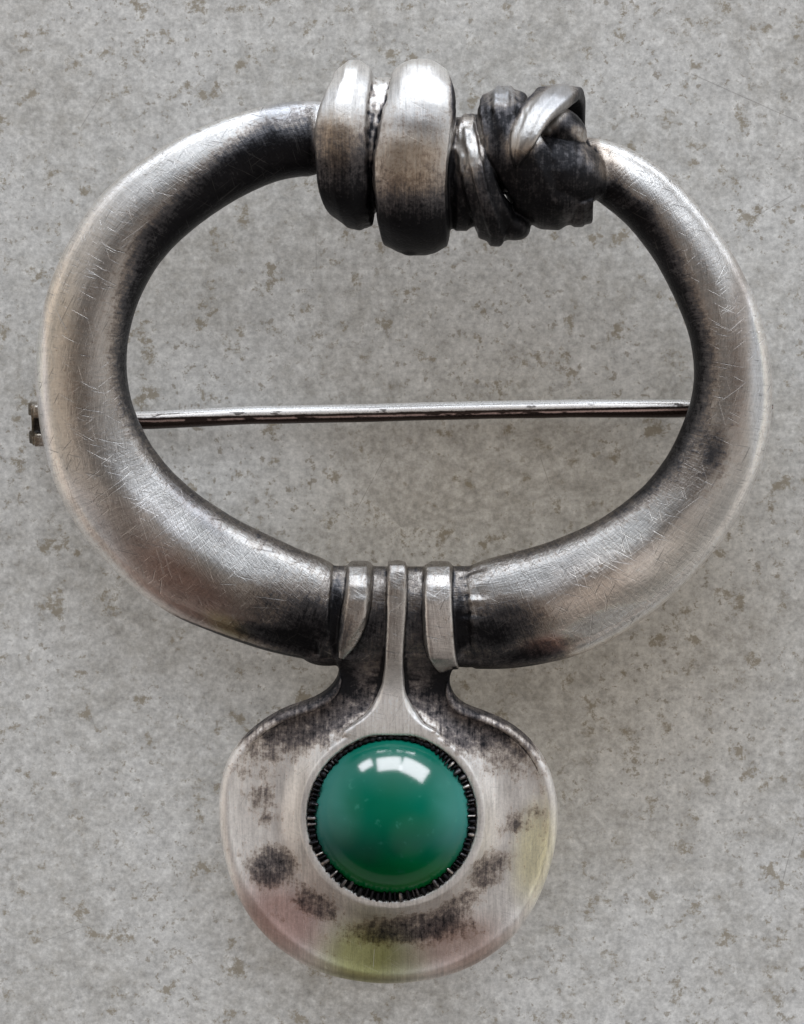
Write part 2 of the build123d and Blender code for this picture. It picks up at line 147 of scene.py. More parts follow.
Plug = float | Sequence[float] | Signal


class Bench:
    """Makes the nodes of one material or world."""

    def __init__(self, tree: bpy.types.NodeTree) -> None:
        """Starts on an emptied node tree.

        Args:
            tree: The node tree to build in.
        """
        tree.nodes.clear()
        self.tree = tree

    @classmethod
    def of_material(cls, name: str) -> tuple[bpy.types.Material, Bench]:
        """A new material and the bench that its nodes are made on.

        Args:
            name: Name of the material.

        Returns:
            The material and its bench.
        """
        material = bpy.data.materials.new(name)
        material.use_nodes = True
        return material, cls(material.node_tree)

    def surface(self, sockets: dict[str | int, Plug]) -> None:
        """Ends a material with its shader.

        Args:
            sockets: A value or a signal for each input of the shader that is set.
        """
        shader = self.add("ShaderNodeBsdfPrincipled", {}, sockets)
        self.add("ShaderNodeOutputMaterial", {}, {"Surface": shader})

    def shaded(self, colour: Plug, shade: Signal) -> Signal:
        """A colour made lighter or darker by a number."""
        return self.tinted(1.0, colour, self.vector(shade, shade, shade))

    def add(
        self,
        kind: str,
        settings: dict[str, Any] | None = None,
        sockets: dict[str | int, Plug] | None = None,
        output: str | int = 0,
    ) -> Signal:
        """Adds one node.

        Args:
            kind: The node's type.
            settings: Properties that are set first.
            sockets: A value or a signal for each named or numbered input.
            output: The output that is handed back.

        Returns:
            The chosen output of the new node.
        """
        node = self.tree.nodes.new(kind)
        for name, value in (settings or {}).items():
            setattr(node, name, value)
        for key, value in (sockets or {}).items():
            if isinstance(value, Signal):
                self.tree.links.new(value.socket, node.inputs[key])
            else:
                node.inputs[key].default_value = value
        outputs = node.outputs
        return Signal(self, outputs[output]) if len(outputs) else Signal(self, node.inputs[0])

    def blended(self, blend: str, factor: Plug, low: Plug, high: Plug) -> Signal:
        """Blends two colours.

        Args:
            blend: How they are blended.
            factor: Share of the second colour.
            low: First colour.
            high: Second colour.

        Returns:
            The blended colour.
        """
        settings = {"data_type": "RGBA", "blend_type": blend}
        sockets = {0: factor, 6: self._opaque(low), 7: self._opaque(high)}
        return self.add("ShaderNodeMix", settings, sockets, 2)

    def mix(self, factor: Plug, low: Plug, high: Plug) -> Signal:
        """Mixes two colours, with the factor as the share of the second."""
        return self.blended("MIX", factor, low, high)

    def layered(self, base: Plug, *layers: tuple[Plug, Plug]) -> Plug:
        """Lays colours over a base, one after the other.

        Args:
            base: The colour under them.
            layers: The share and the colour of each layer.

        Returns:
            The colour that shows.
        """
        for share, colour in layers:
            base = self.mix(share, base, colour)
        return base

    def tinted(self, factor: Plug, colour: Plug, tint: Plug) -> Signal:
        """Multiplies a colour by a tint, as strongly as the factor says."""
        return self.blended("MULTIPLY", factor, colour, tint)

    def _opaque(self, colour: Plug) -> Plug:
        """A colour with its alpha added, or the signal as it is."""
        return colour if isinstance(colour, Signal) else (*colour, 1.0)

    def noise(self, place: Signal, scale: float, detail: float = 3.0, rough: float = 0.5) -> Signal:
        """Cloudy noise from 0 to 1.

        Args:
            place: Where it is read.
            scale: Lumps for each unit of length.
            detail: Number of finer layers.
            rough: Strength of each finer layer.

        Returns:
            The noise.
        """
        sockets = {"Vector": place, "Scale": scale, "Detail": detail, "Roughness": rough}
        return self.add("ShaderNodeTexNoise", {"normalize": True}, sockets, "Fac")

    def spot(self, name: str, output: str = "Fac") -> Signal:
        """An attribute of the mesh.

        Args:
            name: The attribute's name.
            output: Fac for a number, Color for a colour.

        Returns:
            The attribute.
        """
        return self.add("ShaderNodeAttribute", {"attribute_name": name}, {}, output)

    def vector(self, across: Plug, up: Plug, front: Plug) -> Signal:
        """A vector from three values."""
        return self.add("ShaderNodeCombineXYZ", {}, {0: across, 1: up, 2: front})

    def split(self, vector: Signal) -> tuple[Signal, Signal, Signal]:
        """The three values of a vector."""
        whole = self.add("ShaderNodeSeparateXYZ", {}, {0: vector})
        return tuple(Signal(self, socket) for socket in whole.socket.node.outputs)

    def bump(self, height: Signal, strength: float, distance: float, under: Signal | None = None) -> Signal:
        """A bumped normal.

        Args:
            height: Height of the surface.
            strength: Share of the bump that is used.
            distance: Height in metres that 1 stands for.
            under: A normal that it adds to.

        Returns:
            The normal.
        """
        sockets: dict[str | int, Plug] = {"Height": height, "Strength": strength, "Distance": distance}
        if under is not None:
            sockets["Normal"] = under
        return self.add("ShaderNodeBump", {}, sockets)


def strongest(parts: Sequence[Signal]) -> Signal:
    """The greatest of several signals at each place."""
    return reduce(lambda total, part: total.math("MAXIMUM", part), parts)


@dataclass(frozen=True)
class Lie:
    """How the brooch lies: its own frame in millimetres, in the row's frame in metres."""

    matrix: Matrix
    lean: float

    @classmethod
    def of_joint(cls, joint: dict[str, Any], hinge: Vector) -> Lie:
        """Works the lie out from the hinge of the stem.

        Args:
            joint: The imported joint, with its place and axis.
            hinge: The hinge's middle in the brooch's own frame.

        Returns:
            The lie of the brooch.
        """
        axis = Vector(joint["axis"])
        lean = math.atan2(axis.z, axis.y)
        turn = Matrix.Rotation(lean, 4, "X") @ Matrix.Scale(1 / METRE, 4)
        place = Vector(joint["pos_m"]) - turn @ hinge
        return cls(Matrix.Translation(place) @ turn, lean)

    def own_place(self, bench: Bench) -> Signal:
        """Place on a piece in the brooch's own frame, in millimetres.

        Args:
            bench: Maker of the nodes.

        Returns:
            The place as a vector.
        """
        spot = bench.add("ShaderNodeTexCoord", {}, {}, "Object")
        back = self.matrix.inverted()
        sockets: dict[str | int, Plug] = {
            "Vector": spot,
            "Location": tuple(back.translation),
            "Rotation": (-self.lean, 0.0, 0.0),
            "Scale": (METRE, METRE, METRE),
        }
        return bench.add("ShaderNodeMapping", {}, sockets)


def as_mesh(bm: bmesh.types.BMesh, name: str) -> bpy.types.Mesh:
    """Turns a bmesh into a mesh and frees it."""
    mesh = bpy.data.meshes.new(name)
    bm.to_mesh(mesh)
    bm.free()
    return mesh


def packed_copy(node: bpy.types.Object, lie: Lie) -> bmesh.types.BMesh:
    """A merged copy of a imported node, in the brooch's own frame.

    Args:
        node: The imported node, which is left as it is.
        lie: How the brooch lies.

    Returns:
        The copy.
    """
    bm = bmesh.new()
    bm.from_mesh(node.data)
    bmesh.ops.transform(bm, matrix=lie.matrix.inverted(), verts=bm.verts)
    bmesh.ops.remove_doubles(bm, verts=bm.verts, dist=WELD)
    return bm


def cut_at(bm: bmesh.types.BMesh, geom: list[Any], across: float) -> None:
    """Cuts vertices, edges and faces of a mesh along an upright plane, and keeps both sides."""
    bmesh.ops.bisect_plane(bm, geom=geom, dist=1e-5, plane_co=(across, 0, 0), plane_no=(1, 0, 0))


def skinned(bm: bmesh.types.BMesh, sections: Sequence[Sequence[bmesh.types.BMVert]], ring: bool) -> None:
    """Joins closed sections of vertices, one after the other, with faces.

    Args:
        bm: The mesh that holds them.
        sections: The sections, all with the same number of vertices.
        ring: Whether the last joins the first again.
    """
    followers = sections[1:] + sections[:1] if ring else sections[1:]
    for section, following in zip(sections, followers):
        for a, b, c, d in zip(section, section[1:] + section[:1], following[1:] + following[:1], following):
            bm.faces.new((a, b, c, d))


def seated(
    bm: bmesh.types.BMesh, name: str, lie: Lie, material: bpy.types.Material, body: Body
) -> bpy.types.Object:
    """Lays a mesh down with the brooch and gives it its finish and its body.

    Args:
        bm: The mesh in the brooch's own frame. It is freed.
        name: Name of the piece.
        lie: How the brooch lies.
        material: The finish.
        body: The body that the piece rides on.

    Returns:
        The finished piece.
    """
    bmesh.ops.recalc_face_normals(bm, faces=bm.faces)
    for face in bm.faces:
        face.smooth = True
    return dressed(as_mesh(bm, name), name, lie, material, body)


def dressed(
    mesh: bpy.types.Mesh, name: str, lie: Lie, material: bpy.types.Material, body: Body
) -> bpy.types.Object:
    """Makes the object of a mesh that is in the brooch's own frame.

    Args:
        mesh: The mesh, which is moved into the row's frame.
        name: Name of the piece.
        lie: How the brooch lies.
        material: The finish.
        body: The body that the piece rides on.

    Returns:
        The finished piece.
    """
    mesh.transform(lie.matrix)
    mesh.materials.clear()
    mesh.materials.append(material)
    piece = bpy.data.objects.new(name, mesh)
    bpy.context.scene.collection.objects.link(piece)
    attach(piece, body.value)
    LOG.info("%s: %d triangles on %s", name, sum(len(f.vertices) - 2 for f in mesh.polygons), body.value)
    return piece


def marked(
    mesh: bpy.types.Mesh, patina_and_shade: np.ndarray, matt: np.ndarray, wound: np.ndarray, tint: np.ndarray
) -> None:
    """Stores what the silver of a mesh looks like at each vertex.

    Args:
        mesh: The mesh to mark.
        patina_and_shade: 0 where the silver is clean and 1 where it is black, from tarnish and from painted
            shade.
        matt: 1 where it is sanded dull.
        wound: 1 where its fine lines run round the wire or down the pendant.
        tint: Colour that its own colour is multiplied by, which also carries painted highlights and painted
            reflections.
    """
    for name, values in (("patina_and_shade", patina_and_shade), ("matt", matt), ("wound", wound)):
        layer = mesh.attributes.new(name, "FLOAT", "POINT")
        layer.data.foreach_set("value", values.astype(np.float32))
    layer = mesh.attributes.new("tint", "FLOAT_COLOR", "POINT")
    layer.data.foreach_set("color", np.column_stack([tint, np.ones(len(tint))]).astype(np.float32).ravel())


def waves(places: np.ndarray, size: float, seed: int, stretch: Colour = (1.0, 1.0, 1.0)) -> np.ndarray:
    """Soft random lumps, about from -1 to 1.

    Args:
        places: One row for each place.
        size: Width of a lump.
        seed: Seed of the draws.
        stretch: How much longer the lumps are along each axis.

    Returns:
        One height for each place.
    """
    draws = np.random.default_rng(seed)
    count = 18
    directions = draws.normal(size=(count, 3))
    directions /= np.linalg.norm(directions, axis=1)[:, None]
    rates = math.pi / size * draws.uniform(0.6, 1.5, count)
    phases = draws.uniform(0, 2 * math.pi, count)
    spots = (places / np.array(stretch)).astype(np.float32)
    total = np.zeros(len(places), np.float32)
    for direction, rate, phase in zip(directions, rates, phases):
        total += np.sin(spots @ (direction * rate).astype(np.float32) + np.float32(phase))
    return total * math.sqrt(2 / count) * 0.6


def step(values: np.ndarray, low: float, high: float) -> np.ndarray:
    """A soft step from 0 at low to 1 at high.

    Args:
        values: The values to step.
        low: Value that gives 0.
        high: Value that gives 1.

    Returns:
        The stepped values.
    """
    share = np.clip((values - low) / (high - low), 0, 1)
    return share * share * (3 - 2 * share)


def within(values: np.ndarray, low: float, full: float, end: float, gone: float) -> np.ndarray:
    """1 from full to end, fading to 0 at low and at gone."""
    return step(values, low, full) * step(-values, -gone, -end)


def bell(values: np.ndarray, middle: float, width: float | np.ndarray) -> np.ndarray:
    """A round bump that is 1 in the middle."""
    return np.exp(-(((values - middle) / width) ** 2))


def rows(kind: type, *table: tuple[float, ...]) -> tuple[Any, ...]:
    """The rows of a table as records.

    Args:
        kind: The record that each row fills.
        table: The numbers of each row.

    Returns:
        The records.
    """
    return tuple(kind(*row) for row in table)


class Spot(NamedTuple):
    """A soft round region, seen from the front of the brooch."""

    across: float
    up: float
    reach_across: float
    reach_up: float
    turn: float
    amount: float

    def cover(self, places: np.ndarray) -> np.ndarray:
        """How much of the region each place is in.

        Args:
            places: One row for each place, in the brooch's own frame.

        Returns:
            The amount in the middle, fading to 0 at the reach.
        """
        angle = math.radians(self.turn)
        x, y = places[:, 0] - self.across, places[:, 1] - self.up
        along = (x * math.cos(angle) + y * math.sin(angle)) / self.reach_across
        aside = (y * math.cos(angle) - x * math.sin(angle)) / self.reach_up
        return self.amount * step(1.0 - np.hypot(along, aside), 0.0, 0.75)


class TurnStep(NamedTuple):
    """A wound turn at one angle: 90 is the top, 0 the front, -90 the bottom and 180 the back."""

    angle: float
    left: float
    right: float
    grow: float = 0.0
    tip: float = 0.0


@dataclass(frozen=True)
class WoundTurn:
    """One turn of silver wire round the knot, as a ring or as part of one."""

    middle: float
    half_height: float
    half_depth: float
    thickness: float
    crown: float
    steps: tuple[TurnStep, ...]
    whole: bool = True

    def mesh(self) -> bmesh.types.BMesh:
        """Spins the wire's section round the knot and gives it its width at each angle.

        Returns:
            The turn, in the brooch's own frame.
        """
        bm = bmesh.new()
        section = self._section(bm)
        first, last = self.steps[0].angle, self.steps[-1].angle
        sweep = 360.0 if self.whole else last - first
        bmesh.ops.rotate(bm, verts=bm.verts, cent=(0, 0, 0), matrix=self._turned(first))
        bmesh.ops.spin(
            bm, geom=section, axis=(-1, 0, 0), cent=(0, 0, 0),
            angle=math.radians(sweep), steps=96, use_merge=self.whole,
        )
        if not self.whole:
            bmesh.ops.holes_fill(bm, edges=[edge for edge in bm.edges if edge.is_boundary])
        self._fit(bm, first)
        bmesh.ops.recalc_face_normals(bm, faces=bm.faces)
        return bm

    def _turned(self, angle: float) -> Matrix:
        """The turn about the knot's line from the front to an angle."""
        return Matrix.Rotation(math.radians(-angle), 3, "X")

    def _section(self, bm: bmesh.types.BMesh) -> list[Any]:
        """Draws the wire's section at the front, one unit wide each way and two deep.

        Args:
            bm: The mesh to draw in.

        Returns:
            The section's vertices and edges.
        """
        side, lip = 0.62 - 0.3 * self.crown, 0.93 - 0.22 * self.crown
        shoulder, bend = 1.97 - 0.14 * self.crown, 1.62 + 0.22 * lip
        right = [(0.3, 2.0), (side, shoulder), (0.93, bend), (1.0, 1.62), (1.0, 1.3), (0.86, 1.0)]
        outline = [(-across, reach) for across, reach in reversed(right)] + right
        corners = [bm.verts.new((across, 0, reach)) for across, reach in outline]
        edges = [bm.edges.new((a, b)) for a, b in zip(corners, corners[1:] + corners[:1])]
        return corners + edges

    def _fit(self, bm: bmesh.types.BMesh, first: float) -> None:
        """Moves the plain ring's vertices to the turn's own width, height and depth.

        Args:
            bm: The spun ring, whose reach runs from 1 inside to 2 outside.
            first: Angle of the first step.
        """
        angles, *columns = np.array(self.steps).T
        for vert in bm.verts:
            across, up, front = vert.co
            angle = math.atan2(up, front)
            degrees = math.degrees(angle)
            while degrees < first - 0.01:
                degrees += 360.0
            left, right, grow, tip = (float(np.interp(degrees, angles, column)) for column in columns)
            depth = (math.hypot(up, front) - 2.0) * self.thickness + grow + tip * across
            x = (left + right) / 2 + across * (right - left) / 2
            y = self.middle + (self.half_height + depth) * math.sin(angle)
            z = (self.half_depth + depth) * math.cos(angle)
            vert.co = (x, y, z)


TURNS = {
    "first": WoundTurn(13.89, 5.2, 4.05, 2.6, 0.35, rows(
        TurnStep, (-90, -4.35, -1.85, 0.0, 0.28), (-62, -4.85, -1.95, 0.0, 0.22),
        (-30, -5.35, -2.15, 0.0, 0.05), (0, -5.5, -2.3), (30, -5.2, -2.2), (60, -4.6, -1.95, 0.05),
        (90, -4.15, -1.95, 0.05), (150, -4.4, -2.0), (210, -4.5, -1.9), (270, -4.35, -1.85, 0.0, 0.28),
    )),
    "filler": WoundTurn(13.5, 4.6, 3.1, 2.0, 0.2, rows(
        TurnStep, (-90, -2.6, -1.0, -0.9), (0, -2.8, -1.3), (90, -2.5, -0.2), (180, -2.5, -0.4),
        (270, -2.6, -1.0, -0.9),
    )),
    "second": WoundTurn(13.12, 5.95, 4.45, 2.9, 0.15, rows(
        TurnStep, (-90, -1.35, 2.85), (-50, -1.75, 2.75), (-20, -1.9, 2.65), (0, -1.85, 2.85),
        (25, -1.55, 3.15), (50, -1.05, 3.2), (75, -0.75, 2.85, 0.05), (90, -0.65, 2.6, 0.05),
        (150, -0.9, 2.6), (210, -1.2, 2.7), (270, -1.35, 2.85),
    )),
    "saddle": WoundTurn(12.0, 4.0, 3.1, 2.0, 0.5, rows(
        TurnStep, (-90, 2.4, 4.7, -0.6), (0, 2.4, 5.0, -0.1), (45, 2.6, 5.0, 0.05), (90, 2.8, 5.4),
        (180, 2.4, 5.4, -0.3), (270, 2.4, 4.7, -0.6),
    )),
    "falling": WoundTurn(11.85, 4.15, 3.75, 2.2, 0.7, rows(
        TurnStep, (-90, 4.55, 6.75), (-60, 4.5, 7.1), (-30, 4.0, 6.45, 0.05), (0, 3.5, 5.65),
        (30, 3.1, 5.2, -0.1), (60, 3.0, 4.9, -0.25), (90, 3.2, 4.9, -0.3), (180, 3.9, 6.0, -0.2),
        (270, 4.55, 6.75),
    )),
    "broad": WoundTurn(13.13, 4.4, 3.85, 2.4, 0.45, rows(
        TurnStep, (-90, 7.3, 10.9), (-45, 6.6, 10.6), (-20, 5.8, 10.4), (0, 5.2, 9.4), (20, 4.75, 8.4),
        (45, 4.5, 7.5), (70, 4.6, 7.5), (90, 4.75, 7.6), (180, 5.6, 8.4), (270, 7.3, 10.9),
    )),
    "strap": WoundTurn(13.2, 4.52, 4.55, 0.95, 0.75, rows(
        TurnStep, (-8, 6.75, 6.95, -0.35), (5, 6.5, 7.5, -0.1, 0.1), (18, 6.5, 8.2, 0.0, 0.2),
        (35, 6.75, 9.0, 0.0, 0.22), (50, 7.2, 9.9, 0.0, 0.15), (70, 8.0, 10.75), (90, 8.45, 11.05),
        (120, 9.0, 11.35), (155, 9.4, 11.45), (200, 9.6, 11.55, -0.3), (250, 9.8, 11.7, -0.15),
        (285, 9.95, 11.75, -0.2), (312, 10.2, 11.6, -0.7),
    ), whole=False),
}


# Middle, half size and turn in degrees of each lump: four in the knot, a bead under it, and the
# fillets beside the neck.
LUMPS = (
    ((9.5, 12.3, 0.9), (3.2, 2.3, 2.6), -14.0),
    ((9.3, 10.9, 0.6), (2.2, 1.7, 2.6), -10.0),
    ((0.35, 7.55, 0.6), (0.75, 0.42, 0.6), 0.0),
    ((6.6, 9.1, 0.6), (1.3, 1.0, 1.6), -30.0),
    ((9.7, 14.9, 1.0), (1.7, 1.2, 1.5), -30.0),
    ((4.1, -17.95, 0.0), (2.2, 0.85, 0.9), 0.0),
    ((-4.8, -17.92, 0.0), (1.7, 0.78, 0.9), 0.0),
)


@dataclass(frozen=True)
class Knot:
    """The wound silver between the ends of the arms."""

    left_cut: float = -5.9
    right_cut: float = 12.15
    floor: float = 5.0
    core_radius: float = 2.1
    core_reach: tuple[float, float] = (-5.0, 10.2)
    core_height: float = 13.1
    left_run: tuple[float, float, float] = (2.0, 0.35, 0.0)
    right_run: tuple[float, float, float] = (-5.2, 1.35, 0.5)
    taper: float = 0.8

    def opened(self, bm: bmesh.types.BMesh) -> None:
        """Takes the plain turns out of a copy of the casting and grows the arms into the knot.

        Args:
            bm: The copy, in the brooch's own frame.
        """
        for cut in (self.left_cut, self.right_cut):
            upper = {face for face in bm.faces if all(vert.co.y > self.floor for vert in face.verts)}
            geom = list(upper) + list({edge for face in upper for edge in face.edges})
            geom += list({vert for face in upper for vert in face.verts})
            cut_at(bm, geom, cut)
        margin = 1e-3
        inside = [
            vert for vert in bm.verts
            if vert.co.y > self.floor and self.left_cut + margin < vert.co.x < self.right_cut - margin
        ]
        bmesh.ops.delete(bm, geom=inside, context="VERTS")
        rims = [edge for edge in bm.edges if edge.is_boundary]
        caps = bmesh.ops.holes_fill(bm, edges=rims)["faces"]
        for cap in caps:
            self._grow(bm, cap, self.right_run if cap.calc_center_median().x > 0 else self.left_run)

    def _grow(self, bm: bmesh.types.BMesh, cap: bmesh.types.BMFace, run: Sequence[float]) -> None:
        """Extrudes the cut end of an arm into the knot.

        Args:
            bm: The opened copy.
            cap: The face that closes the cut.
            run: How far it grows.
        """
        grown = bmesh.ops.extrude_face_region(bm, geom=[cap])["geom"]
        corners = [item for item in grown if isinstance(item, bmesh.types.BMVert)]
        middle = sum((vert.co for vert in corners), Vector()) / len(corners)
        shrunk = (1.0, self.taper, self.taper)
        bmesh.ops.scale(bm, verts=corners, vec=shrunk, space=Matrix.Translation(-middle))
        bmesh.ops.translate(bm, verts=corners, vec=run)
        bmesh.ops.delete(bm, geom=[cap], context="FACES_ONLY")

    def core(self) -> bmesh.types.BMesh:
        """The rod inside the turns.

        Returns:
            The rod, from one arm to the other.
        """
        bm = bmesh.new()
        first, last = self.core_reach
        radii = {"radius1": self.core_radius, "radius2": self.core_radius}
        bmesh.ops.create_cone(bm, cap_ends=True, segments=32, depth=last - first, **radii)
        bmesh.ops.rotate(bm, verts=bm.verts, cent=(0, 0, 0), matrix=Matrix.Rotation(math.pi / 2, 3, "Y"))
        bmesh.ops.translate(bm, verts=bm.verts, vec=((first + last) / 2, self.core_height, 0))
        return bm

    def lumps(self) -> list[bmesh.types.BMesh]:
        """The merged end of the right arm, a bead and the fillets beside the neck.

        Returns:
            Rounded lumps, in the brooch's own frame.
        """
        made = []
        for middle, reach, turn in LUMPS:
            bm = bmesh.new()
            bmesh.ops.create_icosphere(bm, subdivisions=4, radius=1.0)
            bmesh.ops.scale(bm, verts=bm.verts, vec=reach)
            spun = Matrix.Rotation(math.radians(turn), 3, "Z")
            bmesh.ops.rotate(bm, verts=bm.verts, cent=(0, 0, 0), matrix=spun)
            bmesh.ops.translate(bm, verts=bm.verts, vec=middle)
            made.append(bm)
        return made


class BarStep(NamedTuple):
    """A flat bar's edges and top at one place along it."""

    up: float
    left: float
    right: float
    top: float


@dataclass(frozen=True)
class Bar:
    """A flat-topped bar of silver that runs down the waist."""

    steps: tuple[BarStep, ...]
    foot: float = 0.3
    bevel: float = 0.1
    flare: float = 0.06

    def mesh(self) -> bmesh.types.BMesh:
        """Joins the bar's sections.

        Returns:
            The bar, in the brooch's own frame.
        """
        bm = bmesh.new()
        sections = []
        for row in self.steps:
            outline = (
                (row.left - self.flare, self.foot), (row.left, row.top - self.bevel),
                (row.left + self.bevel, row.top), (row.right - self.bevel, row.top),
                (row.right, row.top - self.bevel), (row.right + self.flare, self.foot),
            )
            sections.append([bm.verts.new((across, row.up, front)) for across, front in outline])
        skinned(bm, sections, ring=False)
        for end in (sections[0], sections[-1]):
            bm.faces.new(end)
        bmesh.ops.recalc_face_normals(bm, faces=bm.faces)
        return bm


WAIST_BARS = (
    Bar(rows(
        BarStep, (-12.0, -0.95, 0.10, 2.15), (-12.4, -0.98, 0.12, 2.50), (-13.2, -1.00, 0.12, 2.68),
        (-15.0, -1.03, 0.08, 2.66), (-17.5, -1.14, -0.06, 2.36), (-18.6, -1.20, -0.08, 2.17),
        (-19.7, -1.36, 0.00, 2.02), (-20.5, -1.58, 0.12, 2.00), (-21.1, -1.92, 0.30, 2.00),
        (-21.6, -2.42, 0.66, 2.00), (-22.1, -3.10, 1.20, 2.00), (-22.5, -3.72, 1.95, 1.99),
        (-22.8, -3.90, 2.30, 1.98),
    )),
    Bar(rows(
        BarStep, (-12.2, -3.50, -2.28, 1.40), (-12.7, -3.50, -2.28, 2.05), (-13.3, -3.52, -2.28, 2.46),
        (-14.2, -3.60, -2.29, 2.66), (-15.2, -3.72, -2.34, 2.64), (-16.0, -3.84, -2.75, 2.50),
        (-16.8, -3.96, -3.25, 2.34), (-17.4, -4.07, -3.65, 2.12), (-17.7, -4.13, -3.90, 1.60),
    )),
    Bar(rows(
        BarStep, (-12.2, 1.32, 2.90, 1.40), (-12.7, 1.30, 2.92, 2.05), (-13.3, 1.30, 2.94, 2.46),
        (-14.2, 1.30, 2.96, 2.68), (-15.2, 1.32, 3.00, 2.68), (-16.2, 1.38, 3.06, 2.54),
        (-17.2, 1.50, 3.14, 2.42), (-17.9, 1.62, 3.22, 2.28), (-18.4, 1.85, 3.34, 1.95),
        (-18.7, 2.40, 3.42, 1.30),
    )),
)


@dataclass(frozen=True)
class Silver:
    """Satin silver with dark tarnish where nothing rubs it, and with painted shade and painted highlights
    in its darkening and its tint.

    Its lines run round the arms, or round the wire and down the pendant where wound is 1. The webs
    are the directions of its hair-fine scratches.
    """

    lie: Lie
    clean: Colour = (0.52, 0.505, 0.485)
    flash: Colour = (0.65, 0.63125, 0.60625)
    fringe: Colour = (0.29, 0.235, 0.19)
    grey: Colour = (0.098, 0.097, 0.103)
    dull: Colour = (0.100, 0.088, 0.086)
    black: Colour = (0.010, 0.010, 0.012)
    arm_radius: float = 18.0
    line_rate: float = 6.0
    relief: float = 0.00004
    bright_web: tuple[float, ...] = (28.0, -38.0, 74.0)
    dull_web: tuple[float, ...] = (12.0, -62.0)

    def material(self) -> bpy.types.Material:
        """Builds the finish.

        Returns:
            The material.
        """
        material, bench = Bench.of_material("satin_silver")
        place = self.lie.own_place(bench)
        across, up, front = bench.split(place)
        round_arm = up.math("ARCTAN2", across) * self.arm_radius
        out = (across * across + up * up).math("SQRT")
        arm_lines = bench.vector(round_arm * self.line_rate, out * 0.6, front * 0.6)
        wire_lines = bench.vector(across * self.line_rate, up * 0.5, front * 0.5)
        wound = bench.spot("wound")
        lines = bench.add(
            "ShaderNodeMix", {"data_type": "VECTOR"}, {0: wound, 4: arm_lines, 5: wire_lines}, 1
        )
        strokes = bench.noise(lines, 1.0, 4.0, 0.7)
        slant = bench.vector(round_arm * 0.9 + out * 0.5, out * 11.0 - round_arm * 2.2, front * 9.0)
        hairs = (bench.noise(slant, 1.0, 4.0, 0.7) - 0.5) * (1.0 - wound)
        grain = bench.noise(place, 5.5, 3.0, 0.6)
        cloud = bench.noise(place, 0.45, 3.0, 0.55)
        speckle = bench.noise(place, 2.6, 4.0, 0.65)

        patina_and_shade = bench.spot("patina_and_shade")
        matt = bench.spot("matt")
        blotch = bench.noise(place, 1.5, 5.0, 0.68)
        specks = bench.noise(place, 7.5, 3.0, 0.7).over(0.58, 0.68)
        worn = patina_and_shade + (strokes - 0.5) * 0.75 + hairs * 0.45 + (grain - 0.5) * 0.50 + (speckle - 0.5) * 0.60
        worn = worn + (blotch - 0.5) * (matt * matt * 0.60 + 0.30) + specks * 0.13
        worn = (worn - 0.45) * (matt * matt * 0.30 + 1.0) + 0.45
        fringe, mask, black = worn.over(0.05, 0.45) * 0.7, worn.over(0.22, 0.74), worn.over(0.64, 1.05)
        stain = bench.mix(matt, self.grey, self.dull)
        base = bench.layered(self.clean, (fringe, self.fringe), (mask, stain), (black, self.black))
        # The tint also carries painted highlights and painted reflections.
        base = bench.tinted(1.0, base, bench.spot("tint", "Color"))
        shade = (cloud - 0.5) * 0.40 + (strokes - 0.5) * (wound * 0.10 + 0.80) + hairs * 0.85
        shade = shade + (grain - 0.5) * 0.45 + 1.0
        base = bench.shaded(base, shade)
        scratch = scratched(bench, place, SCRATCHES)
        bright = self._web(bench, place, self.bright_web, 0.655)
        dull = self._web(bench, place, self.dull_web, 0.66)
        bare = (1.0 - mask * 0.85) * (1.0 - wound * 0.7)
        bright_lines, dull_lines = bright * bare * 0.36, dull * bare * 0.45
        base = bench.layered(
            base, (scratch * 0.5, self.clean), (bright_lines, self.flash), (dull_lines, self.grey)
        )
        roughness = 0.34 + matt * 0.20 + (cloud - 0.5) * 0.10 + (strokes - 0.5) * 0.16
        roughness = roughness + hairs * 0.2 + mask * 0.06
        height = strokes * 0.8 + hairs * 0.9 + grain * 0.45 - scratch * 0.7
        height = height - (bright * 0.45 + dull * 0.35) * bare + mask * grain * 0.7
        normal = bench.bump(height, 0.6, self.relief)
        bench.surface({
            "Base Color": base,
            "Metallic": 1.0 - black * 0.2 - matt * 0.15,
            "Roughness": roughness,
            "Normal": normal,
        })
        return material

    def _web(self, bench: Bench, place: Signal, turns: Sequence[float], low: float) -> Signal:
        """A web of hair-fine scratches.

        Args:
            bench: Maker of the nodes.
            place: Place in the brooch's own frame.
            turns: Direction of each set of scratches, in degrees.
            low: How rare they are, from 0.5 to 0.8.

        Returns:
            1 in a scratch and 0 beside it.
        """
        parts: list[Signal] = []
        for turn in turns:
            sockets: dict[str | int, Plug] = {
                "Vector": place, "Location": (turn * 0.37, turn * 0.11, 0.0),
                "Rotation": (0.0, 0.0, math.radians(turn)),
            }
            along, aside, front = bench.split(bench.add("ShaderNodeMapping", {}, sockets))
            stretched = bench.vector(along * 0.36, aside * 10.0, front * 1.2)
            parts.append(bench.noise(stretched, 1.0, 1.0, 0.5).over(low + 0.02, low + 0.10))
        return strongest(parts)


class Scratch(NamedTuple):
    """A straight scratch, seen from the front of the brooch."""

    across: float
    up: float
    turn: float
    length: float
    width: float = 0.035


